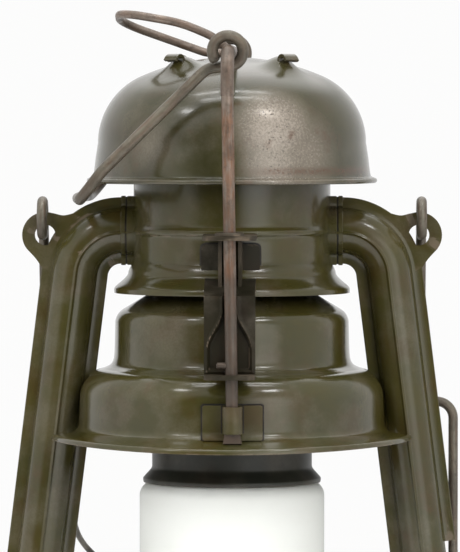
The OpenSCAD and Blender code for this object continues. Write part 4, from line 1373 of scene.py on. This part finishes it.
# Floor, lamps and the white surroundings, in metres
studio = dict(floorRadius=1.2, floorFade=0.75, floorColour=(0.80, 0.80, 0.79, 1), floorDull=0.7,
              floorDrop=0.0002, lampAim=0.20, white=(0.975, 0.975, 0.972, 1), diffuse=0.3, gloss=1.0,
              front=(-0.21, -0.978, 0.0), frontDark=0.03, frontEdge=(0.76, 0.95),
              panel=(0.46, -0.88, 0.10), panelEdge=(0.91, 0.985), panelLight=1.4,
              above=(0.0, 0.6, 0.8), aboveEdge=(0.80, 0.97), aboveLight=1.4)


def makeFloor():
    look = settings(studio)
    bm = bmesh.new()
    bmesh.ops.create_circle(bm, cap_ends=True, radius=look.floorRadius, segments=96)
    bmesh.ops.translate(bm, verts=bm.verts, vec=(0, 0, -look.floorDrop))
    mesh = bpy.data.meshes.new("floor")
    bm.to_mesh(mesh)
    bm.free()
    finish, inputs, places = newFinish("paleFloor")
    inputs["Base Color"].default_value = look.floorColour
    inputs["Roughness"].default_value = look.floorDull
    away = measure("LENGTH", places["Object"], (0, 0, 0))
    feed(inputs["Alpha"], ramp(away, look.floorRadius, look.floorFade))
    mesh.materials.append(finish)
    floor = bpy.data.objects.new("floor", mesh)
    bpy.context.scene.collection.objects.link(floor)


def towards(way, direction, edge, away, facing):  # a level that changes towards one side of the studio
    return ramp(measure("DOT_PRODUCT", way, direction), *edge, away, facing)


def makeWorld():
    look = settings(studio)
    world = bpy.data.worlds.new("studioWhite")
    bpy.context.scene.world = world
    world.use_nodes = True
    tree = world.node_tree
    inputs = tree.nodes["Background"].inputs
    rays = tree.nodes.new("ShaderNodeLightPath").outputs
    way = tree.nodes.new("ShaderNodeTexCoord").outputs["Generated"]
    dim = towards(way, look.front, look.frontEdge, look.gloss, look.frontDark)
    panel = towards(way, look.panel, look.panelEdge, 0.0, look.panelLight)
    glow = towards(way, look.above, look.aboveEdge, 0.0, look.aboveLight)
    seen = larger(rays["Is Camera Ray"], rays["Is Transmission Ray"])
    around = plus(dim, plus(panel, glow))
    shown = times(rays["Is Glossy Ray"], around)
    level = larger(seen, shown)
    other = larger(seen, rays["Is Glossy Ray"])
    rest = times(minus(1.0, other), look.diffuse)
    inputs["Color"].default_value = look.white
    feed(inputs["Strength"], plus(level, rest))


lampLook = dict(distance=1.1, mirrored=True)
lamps = dict(rightBox=dict(azimuth=35, elevation=25, size=(0.5, 0.7), power=10, mirrored=False),
             leftBox=dict(azimuth=-45, elevation=25, distance=1.2, size=(0.5, 0.7), power=11,
                          mirrored=False),
             rightSpot=dict(azimuth=38, elevation=48, size=(0.16, 0.10), power=1.5),
             leftSpot=dict(azimuth=-48, elevation=48, size=(0.16, 0.10), power=0.9),
             topBox=dict(azimuth=0, elevation=82, size=(0.8, 0.8), power=8, mirrored=False),
             topStripFront=dict(azimuth=5, elevation=76, size=(0.8, 0.03), power=2),
             topStripRear=dict(azimuth=5, elevation=88, size=(0.8, 0.03), power=2))


def makeLamps():
    aim = Vector((0, 0, studio["lampAim"]))
    for name, changes in lamps.items():
        look = settings({**lampLook, **changes})
        data = bpy.data.lights.new(name, "AREA")
        data.shape = "RECTANGLE"
        data.size, data.size_y = look.size
        data.energy = look.power
        lamp = bpy.data.objects.new(name, data)
        turn = math.radians(look.azimuth)
        tilt = math.radians(look.elevation)
        out = Vector((math.sin(turn) * math.cos(tilt), -math.cos(turn) * math.cos(tilt), math.sin(tilt)))
        lamp.location = aim + out * look.distance
        lamp.rotation_mode = "QUATERNION"
        lamp.rotation_quaternion = (-out).to_track_quat("-Z", "Y")
        lamp.visible_camera = False
        lamp.visible_glossy = look.mirrored
        bpy.context.scene.collection.objects.link(lamp)


makeFloor()
makeWorld()
makeLamps()
bpy.context.scene.view_settings.view_transform = "Standard"
print("floor and light set")
